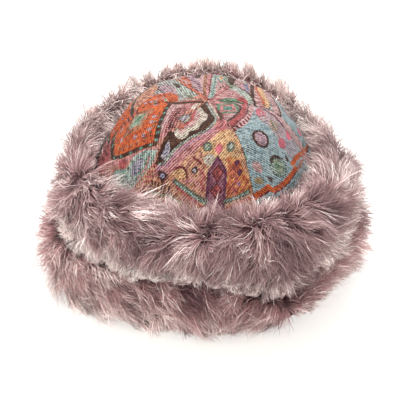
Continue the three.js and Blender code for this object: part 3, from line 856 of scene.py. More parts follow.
def jacquard_material(settings):
    """Woven cloth: the charted yarns broken up by the diagonal ribs of the twill and its dark ground."""
    material, nodes = new_material("jacquard")
    yarn = nodes.attribute("yarn", "Color")
    flat = nodes.add("ShaderNodeUVMap", {"uv_map": "cloth"})["UV"]
    split = nodes.add("ShaderNodeSeparateXYZ", {}, {"Vector": flat})
    across = split["X"] * CLOTH_MAP_SIZE
    down = split["Y"] * CLOTH_MAP_SIZE
    uneven = nodes.noise(flat, RIB_NOISE, 2.0) - 0.5
    ribs = (across * TWILL_ACROSS + down * TWILL_DOWN + uneven) / (settings.twill_pitch / MM)
    rib = ribs.math("FLOOR")
    stitches = (across * TWILL_DOWN - down * TWILL_ACROSS) / (settings.stitch_length / MM)
    stitches += randomly(nodes, rib)
    stitch = stitches.math("FLOOR")
    rib_side = (ribs.math("FRACT") * 2.0 - 1.0).math("ABSOLUTE")
    stitch_end = (stitches.math("FRACT") * 2.0 - 1.0).math("ABSOLUTE")
    sunk = randomly(nodes, rib * 13.7 + stitch * 5.3)
    gaps = (1.0 - rib_side.step(*RIB_EDGE)) * (1.0 - stitch_end.step(*STITCH_EDGE))
    gaps *= GAP_LEAST + sunk * (1.0 - GAP_LEAST)
    weave = 1.0 - gaps
    patchy = nodes.noise(flat, PATCH_NOISE, 4.0)
    lively = randomly(nodes, rib * 7.1 + stitch * 3.7 + 0.5)
    woven = nodes.mix(gaps * settings.gap_depth, yarn, tuple(settings.gap_colour))
    stitch_least, stitch_more = STITCH_SHADE
    patch_least, patch_more = PATCH_SHADE
    shade = (stitch_least + lively * stitch_more) * (patch_least + patchy * patch_more)
    shaded = nodes.scaled(woven, shade)
    inputs = {"Strength": 0.55, "Distance": BUMP_HEIGHT, "Height": weave}
    bump = nodes.add("ShaderNodeBump", {}, inputs)["Normal"]
    look = {"Sheen Weight": 0.05, "Sheen Roughness": 0.5, "Specular IOR Level": 0.15}
    finish_material(nodes, look, {"Base Color": shaded, "Roughness": 0.78 + weave * 0.14, "Normal": bump})
    return material


# Fur
CUFF = "cuff"
HEM = "hem"

# How the fur of each roll is combed: azimuth, angle up the roll's section, direction of the hair (0 runs
# round the hat to the right, 90 up over the roll, -90 down) and its length in millimetres
COMBED = {
    CUFF: [
        (294, 64, 36, 31), (302, 70, 32, 31), (292, 82, 104, 31), (280, 150, 135, 18), (286, 70, 167, 30),
        (284, 55, -171, 28), (284, 34, -151, 28), (292, 34, -132, 28), (298, 43, -45, 26), (306, 52, 0, 28),
        (312, 70, 18, 33), (320, 70, 17, 33), (328, 73, 35, 31), (334, 91, 81, 30), (266, 34, 90, 28),
        (260, 49, 90, 28), (250, 64, 90, 26), (238, 64, 85, 26), (226, 67, 95, 25), (270, 0, -100, 23),
        (282, -20, -110, 22), (308, 22, -19, 26), (316, 31, -13, 28), (312, -20, -91, 17),
        (324, 7, -47, 26), (330, -2, -67, 27), (336, -5, -87, 29), (342, 7, -100, 29), (346, 10, -113, 30),
        (352, 7, -115, 30), (358, 10, -110, 30), (2, 19, -113, 34), (8, 28, -124, 34), (14, 25, -134, 34),
        (18, 22, -119, 34), (24, 19, -103, 34), (28, 16, -80, 34), (32, 22, -59, 34), (38, 16, -42, 34),
        (44, 1, -29, 29), (66, -17, -20, 24), (14, -34, -132, 17), (20, -32, -119, 17), (4, -34, -121, 17),
        (354, -30, -115, 17), (344, -30, -108, 17), (328, -46, -103, 17), (318, -41, -98, 17),
        (28, -17, -86, 26), (36, -20, -60, 17), (44, -23, -46, 17), (60, -30, -27, 17), (340, 76, 114, 20),
        (348, 82, 104, 20), (356, 76, 91, 20), (4, 79, 84, 20), (12, 85, 90, 20), (18, 79, 79, 20),
        (26, 82, 68, 20), (32, 73, 56, 20), (40, 85, 39, 20), (46, 88, 45, 20), (42, 58, -113, 30),
        (27, 50, -100, 26), (42, 31, -60, 31), (50, 76, 45, 20), (52, 55, 24, 30), (60, 58, 6, 30),
        (70, 46, -10, 28), (56, 31, -18, 30), (70, -2, -32, 24), (72, 79, 30, 28), (80, 120, 60, 24),
        (92, 64, 70, 26), (108, 73, 80, 26), (122, 88, 90, 26), (138, 91, 95, 25), (116, 150, 90, 30),
        (156, 97, 90, 23), (170, 76, 97, 23), (182, 82, 85, 23), (194, 79, 95, 23), (208, 79, 85, 23),
        (90, 15, -75, 30), (112, 22, -110, 30), (134, 15, -80, 30), (156, 24, -60, 30), (178, 18, -95, 30),
        (200, 12, -125, 30), (222, 20, -90, 30), (244, 12, -70, 30), (100, -30, -85, 22),
        (140, -30, -100, 22), (180, -30, -80, 22), (220, -30, -100, 22), (255, -30, -80, 22),
        (0, 150, 90, 14), (180, 150, 90, 12), (230, 150, 100, 12), (320, 150, 80, 16), (40, 150, 90, 18),
        (76, 150, 95, 30), (60, 140, 100, 28), (96, 150, 90, 30), (62, 98, 112, 32), (72, 102, 104, 52),
        (84, 108, 96, 56), (96, 112, 90, 54), (270, 150, 100, 16),
    ],
    HEM: [
        (284, -2, -145, 26), (300, 19, -12, 36), (308, 22, -23, 36), (314, 16, -27, 36),
        (304, -11, -14, 36), (312, -23, 2, 36), (320, -11, 2, 36), (328, -5, 4, 34), (318, -50, -4, 30),
        (336, -17, -11, 30), (340, 16, -23, 34), (346, 13, -33, 32), (352, 10, -30, 30), (358, 4, -38, 28),
        (4, -8, -72, 23), (344, -23, -98, 21), (12, -5, -149, 28), (18, -14, -158, 30), (28, -23, -172, 28),
        (34, 1, -17, 28), (46, -20, -30, 28), (60, 0, -25, 26), (76, 0, -40, 28), (100, 10, -75, 30),
        (124, 0, -110, 30), (148, 10, -85, 30), (172, 0, -60, 30), (196, 10, -95, 30), (220, 0, -120, 30),
        (244, 10, -85, 30), (266, 0, -120, 28),
    ],
}

# The dark marks are painted shade in the partings and creases; the pale ones on the back crest are painted
# light where it lies in shade, the rest are frosted tufts.
# Pale tufts and painted shade in partings: azimuth, angle up the section, tone (below 0 dark, above 0 pale)
# and radius
TONED = {
    CUFF: [
        (262, 46, 0.6, 14), (304, 112, 0.7, 11), (298, -22, 2, 12), (308, -24, 2, 12), (316, -28, 2, 11),
        (323, -31, 2, 11), (330, -31, 2, 11), (337, -28, 2, 12), (344, -34, 1.6, 9), (351, -38, 1.1, 8),
        (358, -42, 0.8, 8), (302, -44, 1.2, 8), (314, -48, 0.9, 8), (326, -48, 0.9, 8), (338, -48, 0.9, 8),
        (345, 84, 0.35, 7), (48, -14, 0.9, 13), (58, -30, 0.8, 10), (66, 55, 0.6, 15), (66, 16, 0.5, 12),
        (12, -38, 0.7, 13), (22, -38, 0.7, 13), (30, -32, 0.5, 10), (326, 82, 0.3, 12), (298, 115, 0.4, 12),
        (28, 85, 0.2, 9), (6, 79, 0.6, 6), (356, 90, -0.3, 9), (16, 90, -0.3, 9), (282, 64, -0.8, 7),
        (306, 58, -0.7, 7), (250, 124, -0.8, 8), (286, -10, -0.8, 10), (332, 34, -0.9, 10),
        (346, 37, -0.7, 9), (8, 58, -0.8, 10), (334, -11, -0.7, 9), (346, 4, -0.5, 7), (4, -5, -0.6, 7),
        (34, -17, -0.8, 10), (118, 160, -0.8, 9), (26, 46, -0.2, 7), (140, -40, 0.7, 14),
        (200, -42, 0.7, 14), (170, 40, -0.6, 9), (230, 42, -0.6, 9), (110, 40, -0.6, 9), (150, 92, 0.8, 22),
        (180, 92, 0.9, 22), (210, 92, 0.8, 22), (150, 120, 0.8, 20), (210, 120, 0.8, 20),
        (30, 20, -0.5, 20), (48, 42, -0.4, 18), (240, 80, 0.6, 18), (122, 88, 0.6, 18), (180, 150, 0.9, 20),
        (220, 150, 0.8, 20), (140, 150, 0.8, 20), (100, 80, 0.4, 16),
    ],
    HEM: [
        (2, -2, 0.5, 9), (342, -11, 0.5, 8), (328, 25, -1, 10), (350, 28, -1, 10), (358, 31, -0.8, 10),
        (8, 19, -0.7, 12), (20, 14, -0.7, 11), (34, 10, -0.8, 10), (292, 0, 0.5, 14), (306, -30, 0.5, 14),
        (336, -40, 0.5, 12), (40, -30, 0.4, 14),
    ],
}

# Each roll: the angles where its section starts and ends, the part that it stands for, and its form
ROLL_ANGLES = {CUFF: (-50, 178), HEM: (-50, 60)}
ROLL_NODES = {CUFF: "fur_cuff", HEM: "fur_hem"}
ROLL_CLEARANCE = 22
HEM_WIDEST_SHARE = 0.6
CREST_SHARPNESS = 1.45
CREST_SWAY = 0.45

# How marks blend: how near a combed mark has to be, and the limits of the tone
COMB_SOFTNESS = 50
COMB_FALL = 1.8
TONE_LIMITS = (-1, 2.2)

# The tone without marks: on the lower roll by angle, painted shade near the crease, and painted light on the
# upper one's shaded crest at the back
HEM_TONE = 0.45
HEM_TONE_START = 20
HEM_TONE_SPAN = 85
HEM_TONE_LIMITS = (-0.55, 0.6)
CREST_PAINTED_LIGHT = 1.7
CUFF_TONE = -0.12
CREST_START = 45
CREST_SPAN = 40
BACK_FACING = 1.5

# Rows up each roll's backing and its scalp, and columns all the way round
BACKING_ROWS = {CUFF: 22, HEM: 12}
SCALP_ROWS = {CUFF: 46, HEM: 24}
BACKING_COLUMNS = 144
SCALP_COLUMNS = 216

# The crown's coarse shell that the hair is kept off
GUARD_ROWS = 36
GUARD_COLUMNS = 60

# The backing's lumps in millimetres, and the ridge along its low edge in degrees
BACKING_LUMPS = 1.6
RIDGE_ANGLE = -50
RIDGE_SPREAD = 16

# The hair just above the crease is short and dense and stands out: its depth and length in millimetres,
# and how much it adds there
EDGE_DEPTH = 9
EDGE_LENGTH = 11
EDGE_LIFT = 1.6
EDGE_TANGLE = 2.2
EDGE_GROWTH = 1.2

# Falling hair is kept from passing the crease: its length there, what each millimetre above it adds, and
# what hair that doesn't fall adds
FALL_STEEPNESS = 1.5
FALLING_LENGTH = (6, 0.62, 60)

# The hair beside the crown at the right stands up, and that on the back crest is thin
SIDE_AZIMUTH = 85
SIDE_SPREAD = 32
SIDE_START = 72
SIDE_SPAN = 30
BACK_THINNING = 0.45

# How tangled and how pink each roll's hair is
TANGLE = {CUFF: 1.0, HEM: 0.75}
BLUSH = {CUFF: 0.25, HEM: 1.0}

# The attributes that only the growing needs
SPARE_ATTRIBUTES = (
    "comb", "outward", "strand_length", "lift", "growth", "tangle", "start", "bend", "wide", "side"
)

# Random ranges of the hair: lowest, highest and seed, by lock or by strand
LOCK_LENGTH = (0.66, 1.14, 11)
STRAND_LENGTH = (0.74, 1.08, 12)
LOCK_LIFT = (-0.16, 0.16, 13)
STRAND_LIFT = (-0.08, 0.08, 14)
STRAND_TILT = (-0.5, 0.5, 17)
STRAND_WIDTH = (0.35, 0.65, 18)
STRAND_TINT = (-1.0, 1.0, 19)
LOCK_TINT = (-1.0, 1.0, 20)
STRAY_CHANCE = (0.0, 1.0, 23)
LOCK_SPREAD_SEED = 15
STRAND_SPREAD_SEED = 16
LOCK_CURL_SEED = 21
STRAND_CURL_SEED = 22
CUFF_SEED = 100
HEM_SEED = 200

# How a strand runs: its stations from the root, its taper, curl, tint and stray ends, and its noise
STRAND_STATIONS = (0.0, 0.38, 0.74)
TAPER = 0.75
OWN_CURL = 0.7
OWN_TINT = 0.7
SHARED_TINT = 0.4
STRAY_LEAST = 0.6
STRAY_MOST = 3.0
STRAY_RARITY = 5.0
DROOP_RUN = 0.12
SWIRL_SCALE = 42.0
RIPPLE_SCALE = 95.0
PATCH_SCALE = 62.0

# How far the hair keeps off the crown, as shares at root and tip, and off the floor in metres
ROOT_CLEARANCE = 0.5
TIP_CLEARANCE = 2.0
FLOOR_CLEARANCE = 0.0004


def roll_section(roll, azimuth, angle, stand):
    """Radius and height on a roll's section, with 0 as the angle at its widest and 180 at the crown."""
    crease = fur_size(CREASE, azimuth)
    if roll == CUFF:
        base = crease
        widest = np.maximum(CUFF_WIDEST, crease + ROLL_CLEARANCE)
        rise = fur_size(CUFF_TOP, azimuth) - LOCK_RISE - widest
        crest = CREST_SHARPNESS + CREST_SWAY * np.cos(azimuth)
        reach = fur_size(CUFF_REACH, azimuth) - LOCK_REACH
    else:
        base = 0 * crease
        widest = np.minimum(HEM_WIDEST, crease * HEM_WIDEST_SHARE)
        rise = (crease - widest) * SHOULDER
        crest = 1.0 + 0 * azimuth
        reach = fur_size(HEM_REACH, azimuth) - LOCK_REACH
    inner = crown_radius(widest) + FUR_GAP
    upper = angle > 0
    share = ((1 + np.cos(angle)) / 2) ** np.where(upper, crest, 1)
    span = np.where(upper, rise, (widest - base) * UNDERCUT)
    out = span * np.cos(angle)
    up = (reach - inner) / 2 * np.sin(angle)
    size = np.hypot(out, up)
    radius = inner + (reach - inner) * share + out / size * stand
    height = widest + span * np.sin(angle) + up / size * stand
    return radius, height


def roll_surface(roll, azimuth, angle, stand):
    radius, height = roll_section(roll, azimuth, angle, stand)
    radius = np.maximum(radius, crown_radius(height) + FUR_GAP)
    return hat_point(radius, azimuth, np.maximum(height, 1.0))


def unit(vectors):
    return vectors / (np.linalg.norm(vectors, axis=-1, keepdims=True) + 1e-12)


def roll_axes(roll, azimuth, angle, stand):
    """Directions on a roll's surface: round the hat, up the section, and outwards."""
    small = 1e-3
    here = roll_surface(roll, azimuth, angle, stand)
    round_hat = unit(roll_surface(roll, azimuth + small, angle, stand) - here)
    up_section = unit(roll_surface(roll, azimuth, angle + small, stand) - here)
    outward = unit(np.cross(round_hat, up_section))
    return [axis.reshape(-1, 3) for axis in (round_hat, up_section, outward)]


def mark_places(roll, marks):
    turned = [(math.radians(azimuth), math.radians(angle)) for azimuth, angle, *_ in marks]
    places = [roll_surface(roll, np.float64(azimuth), np.float64(angle), 0.0) for azimuth, angle in turned]
    return np.array(places).reshape(-1, 3)


def combing(roll, places):
    """The direction and length of the hair at each place, blended from the combed marks of its roll."""
    marks = COMBED[roll]
    turn = np.radians([mark[2] for mark in marks])
    length = np.array([mark[3] for mark in marks], float)
    apart = np.linalg.norm(places[:, None] - mark_places(roll, marks)[None], axis=-1) / MM
    weight = 1 / (apart**2 + COMB_SOFTNESS) ** COMB_FALL
    weight /= weight.sum(1, keepdims=True)
    return weight @ np.cos(turn), weight @ np.sin(turn), weight @ length


def toning(places):
    """The tone that the marks of both rolls give each place."""
    spots = np.concatenate([mark_places(roll, marks) for roll, marks in TONED.items()])
    marks = [mark for marks in TONED.values() for mark in marks]
    strength = np.array([mark[2] for mark in marks])
    radius = np.array([mark[3] for mark in marks], float)
    apart = np.linalg.norm(places[:, None] - spots[None], axis=-1) / MM
    return np.clip((strength * np.exp(-((apart / radius) ** 2))).sum(1), *TONE_LIMITS)


def back_crest(azimuth, angle):
    """How far a place belongs to the upper roll's crest at the back, from 0 to 1."""
    behind = np.clip(-np.cos(azimuth) * BACK_FACING, 0, 1)
    return behind * np.clip((np.degrees(angle) - CREST_START) / CREST_SPAN, 0, 1)


def base_tone(roll, azimuth, angle):
    """The lower roll has painted shade in the crease and is paler towards the floor, the upper one has
    painted light on its back crest, which lies in shade.
    """
    if roll == HEM:
        return np.clip(HEM_TONE - (np.degrees(angle) + HEM_TONE_START) / HEM_TONE_SPAN, *HEM_TONE_LIMITS)
    return CREST_PAINTED_LIGHT * back_crest(azimuth, angle) + CUFF_TONE


def make_backing(settings, roll, material):
    """The lumpy cloth roll that the fur grows from, closed against the crown."""
    low, high = np.radians(ROLL_ANGLES[roll])
    azimuth = np.linspace(0, 2 * np.pi, BACKING_COLUMNS + 1)[:-1]
    angle = np.linspace(low, high, BACKING_ROWS[roll])
    grid_azimuth, grid_angle = np.meshgrid(azimuth, angle, indexing="ij")
    outer = roll_surface(roll, grid_azimuth, grid_angle, backing_stand(settings, grid_azimuth, grid_angle))
    heights = (outer[:, -1, 2] / MM, outer[:, 0, 2] / MM)
    walls = [hat_point(crown_radius(height) + FUR_GAP, azimuth, height) for height in heights]
    rings = np.concatenate([outer, np.stack(walls, 1)], 1)
    index = number_grid(rings.shape)
    index = np.concatenate([index, index[:1]], 0)
    index = np.concatenate([index, index[:, :1]], 1)
    backing = new_object(f"{roll}_backing", rings.reshape(-1, 3), turned_over(grid_faces(index)), material)
    backing.data.polygons.foreach_set("use_smooth", [True] * len(backing.data.polygons))
    set_attribute(backing.data, "tone", "FLOAT", toning(rings.reshape(-1, 3)))
    place_piece(backing, "fur", ROLL_NODES[roll])


def backing_stand(settings, azimuth, angle):
    """How far the backing stands off the roll's outline, below 0 as it lies under the pile."""
    lumps = np.sin(azimuth * 9 + 2 * np.sin(angle * 2)) * np.sin(angle * 3 + azimuth * 4)
    ridge = settings.edge_ridge / MM * np.exp(-(((np.degrees(angle) - RIDGE_ANGLE) / RIDGE_SPREAD) ** 2))
    return -settings.pile_depth / MM + BACKING_LUMPS * lumps + ridge


def strand_template():
    """A flat tapering ribbon of hair. Its shape is set where it grows."""
    along = [share for share in STRAND_STATIONS for _ in (0, 1)] + [1.0]
    side = [-1.0, 1.0] * len(STRAND_STATIONS) + [0.0]
    mesh = bpy.data.meshes.new("strand")
    mesh.from_pydata([(0.0, 0.0, 0.0)] * len(along), [], [(0, 1, 3, 2), (2, 3, 5, 4), (4, 5, 6)])
    set_attribute(mesh, "along", "FLOAT", along)
    set_attribute(mesh, "side", "FLOAT", side)
    return link_object("strand", mesh)


def crown_guard():
    """The crown's outer face as a coarse shell, which keeps the hair outside the cloth."""
    azimuth = np.linspace(0, 2 * np.pi, GUARD_COLUMNS + 1)[:-1]
    along = np.linspace(1, GORE_LENGTH, GUARD_ROWS)
    grid_along, grid_azimuth = np.meshgrid(along, azimuth, indexing="ij")
    radius, height = crown_at(grid_along)
    points = hat_point(radius, grid_azimuth, height)
    index = number_grid(radius.shape)
    index = np.concatenate([index, index[:, :1]], 1)
    mesh = bpy.data.meshes.new("crown_guard")
    mesh.from_pydata([tuple(p) for p in points.reshape(-1, 3)], [], grid_faces(index[::-1]))
    return link_object("crown_guard", mesh)


def fur_tree():
    """Strands that grow from a scalp, gather into locks, bend over, and keep off the crown and the floor."""
    tree = bpy.data.node_groups.new("fur_strands", "GeometryNodeTree")
    face = tree.interface
    face.new_socket("Geometry", in_out="INPUT", socket_type="NodeSocketGeometry")
    sizes = [
        ("Strands per Area", 900000.0), ("Locks per Area", 40000.0), ("Strand Width", 0.0005),
        ("Gather", 0.6), ("Lock Spread", 0.45), ("Strand Spread", 0.2), ("Swirl", 1.5), ("Curl", 0.22),
        ("Droop", 0.4), ("Clearance", 0.001), ("Patches", 2.6), ("Waviness", 0.018),
    ]
    for name, value in sizes:
        face.new_socket(name, in_out="INPUT", socket_type="NodeSocketFloat").default_value = value
    others = {"Seed": "Int", "Strand": "Object", "Crown": "Object", "Material": "Material"}
    for name, kind in others.items():
        face.new_socket(name, in_out="INPUT", socket_type=f"NodeSocket{kind}")
    face.new_socket("Geometry", in_out="OUTPUT", socket_type="NodeSocketGeometry")
    nodes = Nodes(tree)
    given = nodes.add("NodeGroupInput")

    def named(name, kind="FLOAT"):
        return nodes.add("GeometryNodeInputNamedAttribute", {"data_type": kind}, {"Name": name})["Attribute"]

    def random_number(number, low, high, seed):
        inputs = {"Min_001": low, "Max_001": high, "ID": number, "Seed": seed}
        return nodes.add("FunctionNodeRandomValue", {"data_type": "FLOAT"}, inputs)["Value_001"]

    def random_vector(number, seed):
        inputs = {"Min": (-1.0, -1.0, -1.0), "Max": (1.0, 1.0, 1.0), "ID": number, "Seed": seed}
        return nodes.add("FunctionNodeRandomValue", {"data_type": "FLOAT_VECTOR"}, inputs)["Value"]

    def stored(geometry, name, kind, value):
        settings = {"data_type": kind, "domain": "POINT"}
        inputs = {"Geometry": geometry, "Name": name, "Value": value}
        return nodes.add("GeometryNodeStoreNamedAttribute", settings, inputs)["Geometry"]

    def summed(first, *others):
        for other in others:
            first = nodes.vector("ADD", first, other)
        return first

    def moved(geometry, offset):
        inputs = {"Geometry": geometry, "Offset": offset}
        return nodes.add("GeometryNodeSetPosition", {}, inputs)["Geometry"]

    def noise_vector(scale):
        """Soft noise at each place, centred on 0."""
        return nodes.vector("SUBTRACT", nodes.noise(position, scale, 1.0, "Color"), (0.5, 0.5, 0.5))

    def within(place, reach):
        """The place, drawn in softly where it goes past the hat's own reach."""
        far = (place.math("ABSOLUTE") - (reach + TIP_START)).math("MAXIMUM", 0.0)
        return place - place.math("SIGN") * (far - far / (far * (1 / TIP_REACH) + 1.0))

    spread = {"distribute_method": "RANDOM"}
    density = given["Strands per Area"] * named("growth")
    inputs = {"Mesh": given["Geometry"], "Density": density, "Seed": given["Seed"]}
    strands = nodes.add("GeometryNodeDistributePointsOnFaces", spread, inputs)["Points"]
    inputs = {"Mesh": given["Geometry"], "Density": given["Locks per Area"], "Seed": given["Seed"] + 1.0}
    locks = nodes.add("GeometryNodeDistributePointsOnFaces", spread, inputs)["Points"]

    position = nodes.add("GeometryNodeInputPosition")["Position"]
    number = nodes.add("GeometryNodeInputIndex")["Index"]
    nearest = nodes.add("GeometryNodeSampleNearest", {"domain": "POINT"}, {"Geometry": locks})["Index"]
    settings = {"data_type": "FLOAT_VECTOR", "domain": "POINT"}
    inputs = {"Geometry": locks, "Value": position, "Index": nearest}
    lock_place = nodes.add("GeometryNodeSampleIndex", settings, inputs)["Value"]

    outward = named("outward", "FLOAT_VECTOR")
    comb = named("comb", "FLOAT_VECTOR")
    length = named("strand_length")
    lift = named("lift")
    length = length * random_number(nearest, *LOCK_LENGTH) * random_number(number, *STRAND_LENGTH)
    lift = lift + random_number(nearest, *LOCK_LIFT) + random_number(number, *STRAND_LIFT)
    stray = STRAY_LEAST + random_number(number, *STRAY_CHANCE) ** STRAY_RARITY * STRAY_MOST
    waver = summed(
        nodes.scaled(random_vector(nearest, LOCK_SPREAD_SEED), given["Lock Spread"]),
        nodes.scaled(random_vector(number, STRAND_SPREAD_SEED), given["Strand Spread"] * stray),
        nodes.scaled(noise_vector(SWIRL_SCALE), given["Swirl"]),
    )
    run = nodes.vector("NORMALIZE", summed(comb, nodes.scaled(waver, named("tangle"))))
    start = nodes.scaled(nodes.vector("NORMALIZE", summed(run, nodes.scaled(outward, lift))), length)
    pull = nodes.scaled(nodes.vector("SUBTRACT", lock_place, position), given["Gather"])
    reach = nodes.scaled(run, length * DROOP_RUN)
    droop = nodes.vector("SUBTRACT", reach, nodes.scaled(outward, length * given["Droop"]))
    curl = summed(
        nodes.scaled(random_vector(nearest, LOCK_CURL_SEED), length * given["Curl"]),
        nodes.scaled(random_vector(number, STRAND_CURL_SEED), length * given["Curl"] * OWN_CURL),
    )
    bend = summed(pull, droop, curl)
    wide = nodes.vector("NORMALIZE", nodes.vector("CROSS_PRODUCT", start, outward))
    tilt = random_number(number, *STRAND_TILT)
    wide = nodes.vector("NORMALIZE", summed(wide, nodes.scaled(outward, tilt)))
    wide = nodes.scaled(wide, given["Strand Width"] * random_number(number, *STRAND_WIDTH))
    tint = random_number(number, *STRAND_TINT) * OWN_TINT + random_number(nearest, *LOCK_TINT) * SHARED_TINT
    patches = nodes.noise(position, PATCH_SCALE, 2.0) - 0.5
    tone = named("tone") + patches * given["Patches"]

    geometry = strands
    for name, value in {"start": start, "bend": bend, "wide": wide}.items():
        geometry = stored(geometry, name, "FLOAT_VECTOR", value)
    for name, value in {"tint": tint, "tone": tone}.items():
        geometry = stored(geometry, name, "FLOAT", value)
    strand = nodes.add("GeometryNodeObjectInfo", {}, {"Object": given["Strand"]})["Geometry"]
    inputs = {"Points": geometry, "Instance": strand}
    placed = nodes.add("GeometryNodeInstanceOnPoints", {}, inputs)["Instances"]
    real = nodes.add("GeometryNodeRealizeInstances", {}, {"Geometry": placed})["Geometry"]

    along = named("along")
    side = named("side") * (1.0 - along * TAPER)
    shares = {"start": along, "bend": along * along, "wide": side}
    shape = summed(*(nodes.scaled(named(name, "FLOAT_VECTOR"), share) for name, share in shares.items()))
    shaped = moved(moved(real, shape), nodes.scaled(noise_vector(RIPPLE_SCALE), along * given["Waviness"]))

    crown = nodes.add("GeometryNodeObjectInfo", {}, {"Object": given["Crown"]})["Geometry"]
    normal = nodes.add("GeometryNodeInputNormal")["Normal"]
    near, facing = (
        nodes.add(
            "GeometryNodeSampleNearestSurface",
            {"data_type": "FLOAT_VECTOR"},
            {"Mesh": crown, "Value": value},
        )["Value"]
        for value in (position, normal)
    )
    apart = nodes.vector("DOT_PRODUCT", nodes.vector("SUBTRACT", position, near), facing)
    clearance = given["Clearance"] * (ROOT_CLEARANCE + along * TIP_CLEARANCE)
    push = (clearance - apart).math("MAXIMUM", 0.0)
    clear = moved(shaped, nodes.scaled(facing, push))
    split = nodes.add("ShaderNodeSeparateXYZ", {}, {"Vector": position})
    height = split["Z"].math("MAXIMUM", FLOOR_CLEARANCE)
    held = [within(split[axis], reach) for axis, reach in zip("XY", CAD_BOX[1])]
    above = nodes.add("ShaderNodeCombineXYZ", {}, {"X": held[0], "Y": held[1], "Z": height})["Vector"]
    standing = nodes.add("GeometryNodeSetPosition", {}, {"Geometry": clear, "Position": above})["Geometry"]
    smooth = nodes.add("GeometryNodeSetShadeSmooth", {}, {"Geometry": standing})["Geometry"]
    inputs = {"Geometry": smooth, "Material": given["Material"]}
    finished = nodes.add("GeometryNodeSetMaterial", {}, inputs)["Geometry"]
    nodes.add("NodeGroupOutput", {}, {"Geometry": finished})
    return tree


def make_scalp(settings, name, roll, sector, material):
    """One sector of a roll as a bare sheet, with all that its hair needs to know at each point."""
    low, high = np.radians(ROLL_ANGLES[roll])
    first, last = np.radians(sector)
    azimuth = np.linspace(first, last, round(SCALP_COLUMNS * (sector[1] - sector[0]) / 360) + 1)
    angle = np.linspace(low, high, SCALP_ROWS[roll])
    grid_azimuth, grid_angle = np.meshgrid(azimuth, angle, indexing="ij")
    stand = backing_stand(settings, grid_azimuth, grid_angle)
    grid = roll_surface(roll, grid_azimuth, grid_angle, stand)
    marked = roll_surface(roll, grid_azimuth, grid_angle, 0.0).reshape(-1, 3)
    round_hat, up_section, outward = roll_axes(roll, grid_azimuth, grid_angle, stand)
    sideways, upwards, length = combing(roll, marked)
    lift = np.full(len(marked), settings.lift)
    edge = np.zeros(len(marked))
    thin = 0
    if roll == CUFF:
        steps = np.linalg.norm(np.diff(grid, axis=1), axis=-1) / MM
        above = np.concatenate([np.zeros((len(steps), 1)), np.cumsum(steps, 1)], 1).ravel()
        falling = np.clip(-upwards * FALL_STEEPNESS, 0, 1)
        least, rise, free = FALLING_LENGTH
        length = np.minimum(length, least + above * rise + free * (1 - falling))
        edge = np.exp(-((above / EDGE_DEPTH) ** 2))
        length = length * (1 - edge) + EDGE_LENGTH * edge
        beside = np.exp(-(((np.degrees(grid_azimuth) % 360 - SIDE_AZIMUTH) / SIDE_SPREAD) ** 2))
        inside = np.clip((np.degrees(grid_angle) - SIDE_START) / SIDE_SPAN, 0, 1)
        lift += EDGE_LIFT * edge + (beside * inside).ravel()
        thin = back_crest(grid_azimuth, grid_angle).ravel()
    comb = round_hat * sideways[:, None] + up_section * upwards[:, None]
    scalp = new_object(name, grid.reshape(-1, 3), grid_faces(number_grid(grid.shape)), material)
    set_attribute(scalp.data, "comb", "FLOAT_VECTOR", comb)
    set_attribute(scalp.data, "outward", "FLOAT_VECTOR", outward)
    numbers = {
        "strand_length": length * MM * settings.length_share,
        "lift": lift,
        "tone": toning(marked) + base_tone(roll, grid_azimuth, grid_angle).ravel(),
        "tangle": TANGLE[roll] + EDGE_TANGLE * edge,
        "blush": np.full(len(marked), BLUSH[roll]),
        "growth": 1 + EDGE_GROWTH * edge - BACK_THINNING * thin,
    }
    for attribute, values in numbers.items():
        set_attribute(scalp.data, attribute, "FLOAT", values)
    return scalp


def make_strands(settings, name, roll, sector, seed, tree, helpers, material):
    """The fur on one sector of a roll."""
    scalp = make_scalp(settings, name, roll, sector, material)
    modifier = scalp.modifiers.new("fur", "NODES")
    modifier.node_group = tree
    values = {
        "Strands per Area": settings.strand_density * 1.0,
        "Locks per Area": settings.lock_density,
        "Strand Width": settings.strand_width,
        "Gather": settings.gather,
        "Droop": settings.droop,
        "Seed": seed,
        "Strand": helpers[0],
        "Crown": helpers[1],
        "Material": material,
    }
    for item in tree.interface.items_tree:
        if item.in_out == "INPUT" and item.name in values:
            modifier[item.identifier] = values[item.name]
    depsgraph = bpy.context.evaluated_depsgraph_get()
    grown = bpy.data.meshes.new_from_object(scalp.evaluated_get(depsgraph), depsgraph=depsgraph)
    grown.name = name
    scalp.modifiers.clear()
    scalp.data = grown
    for spare in SPARE_ATTRIBUTES:
        if spare in grown.attributes:
            grown.attributes.remove(grown.attributes[spare])
    place_piece(scalp, "fur", ROLL_NODES[roll])


# Where along a strand its root colour, darkened as painted shade deep in the pile, ends and its frost and
# white set in, and the tints that turn white
ROOT_END = (0.02, 0.5)
FROST_RISE = (0.4, 0.95)
WHITE_RISE = (0.1, 0.6)
WHITE_TINTS = (0.6, 0.85)

# How much pale marks, dark marks of painted shade and a strand's own tint change its body, root, frost,
# white and shade
PALE_BODY = 0.4
PALE_ROOT = 0.6
FROST_LEAST = 0.36
FROST_BY_PALE = 0.5
FROST_BY_TINT = 0.55
FROST_LOST_TO_SHADE = 0.7
WHITE_BY_PALE = 0.6
WHITE_SHARE = 0.7
PAINTED_SHADE_SHARE = 0.8
SHADE = 0.98
SHADE_BY_TINT = 0.46
SHADE_BY_PALE = 0.2

# The backing's mottle, and how far pale marks, painted light on the back crest among them, lighten it
MOTTLE_NOISE = 160.0
PALE_GROUND = 0.8


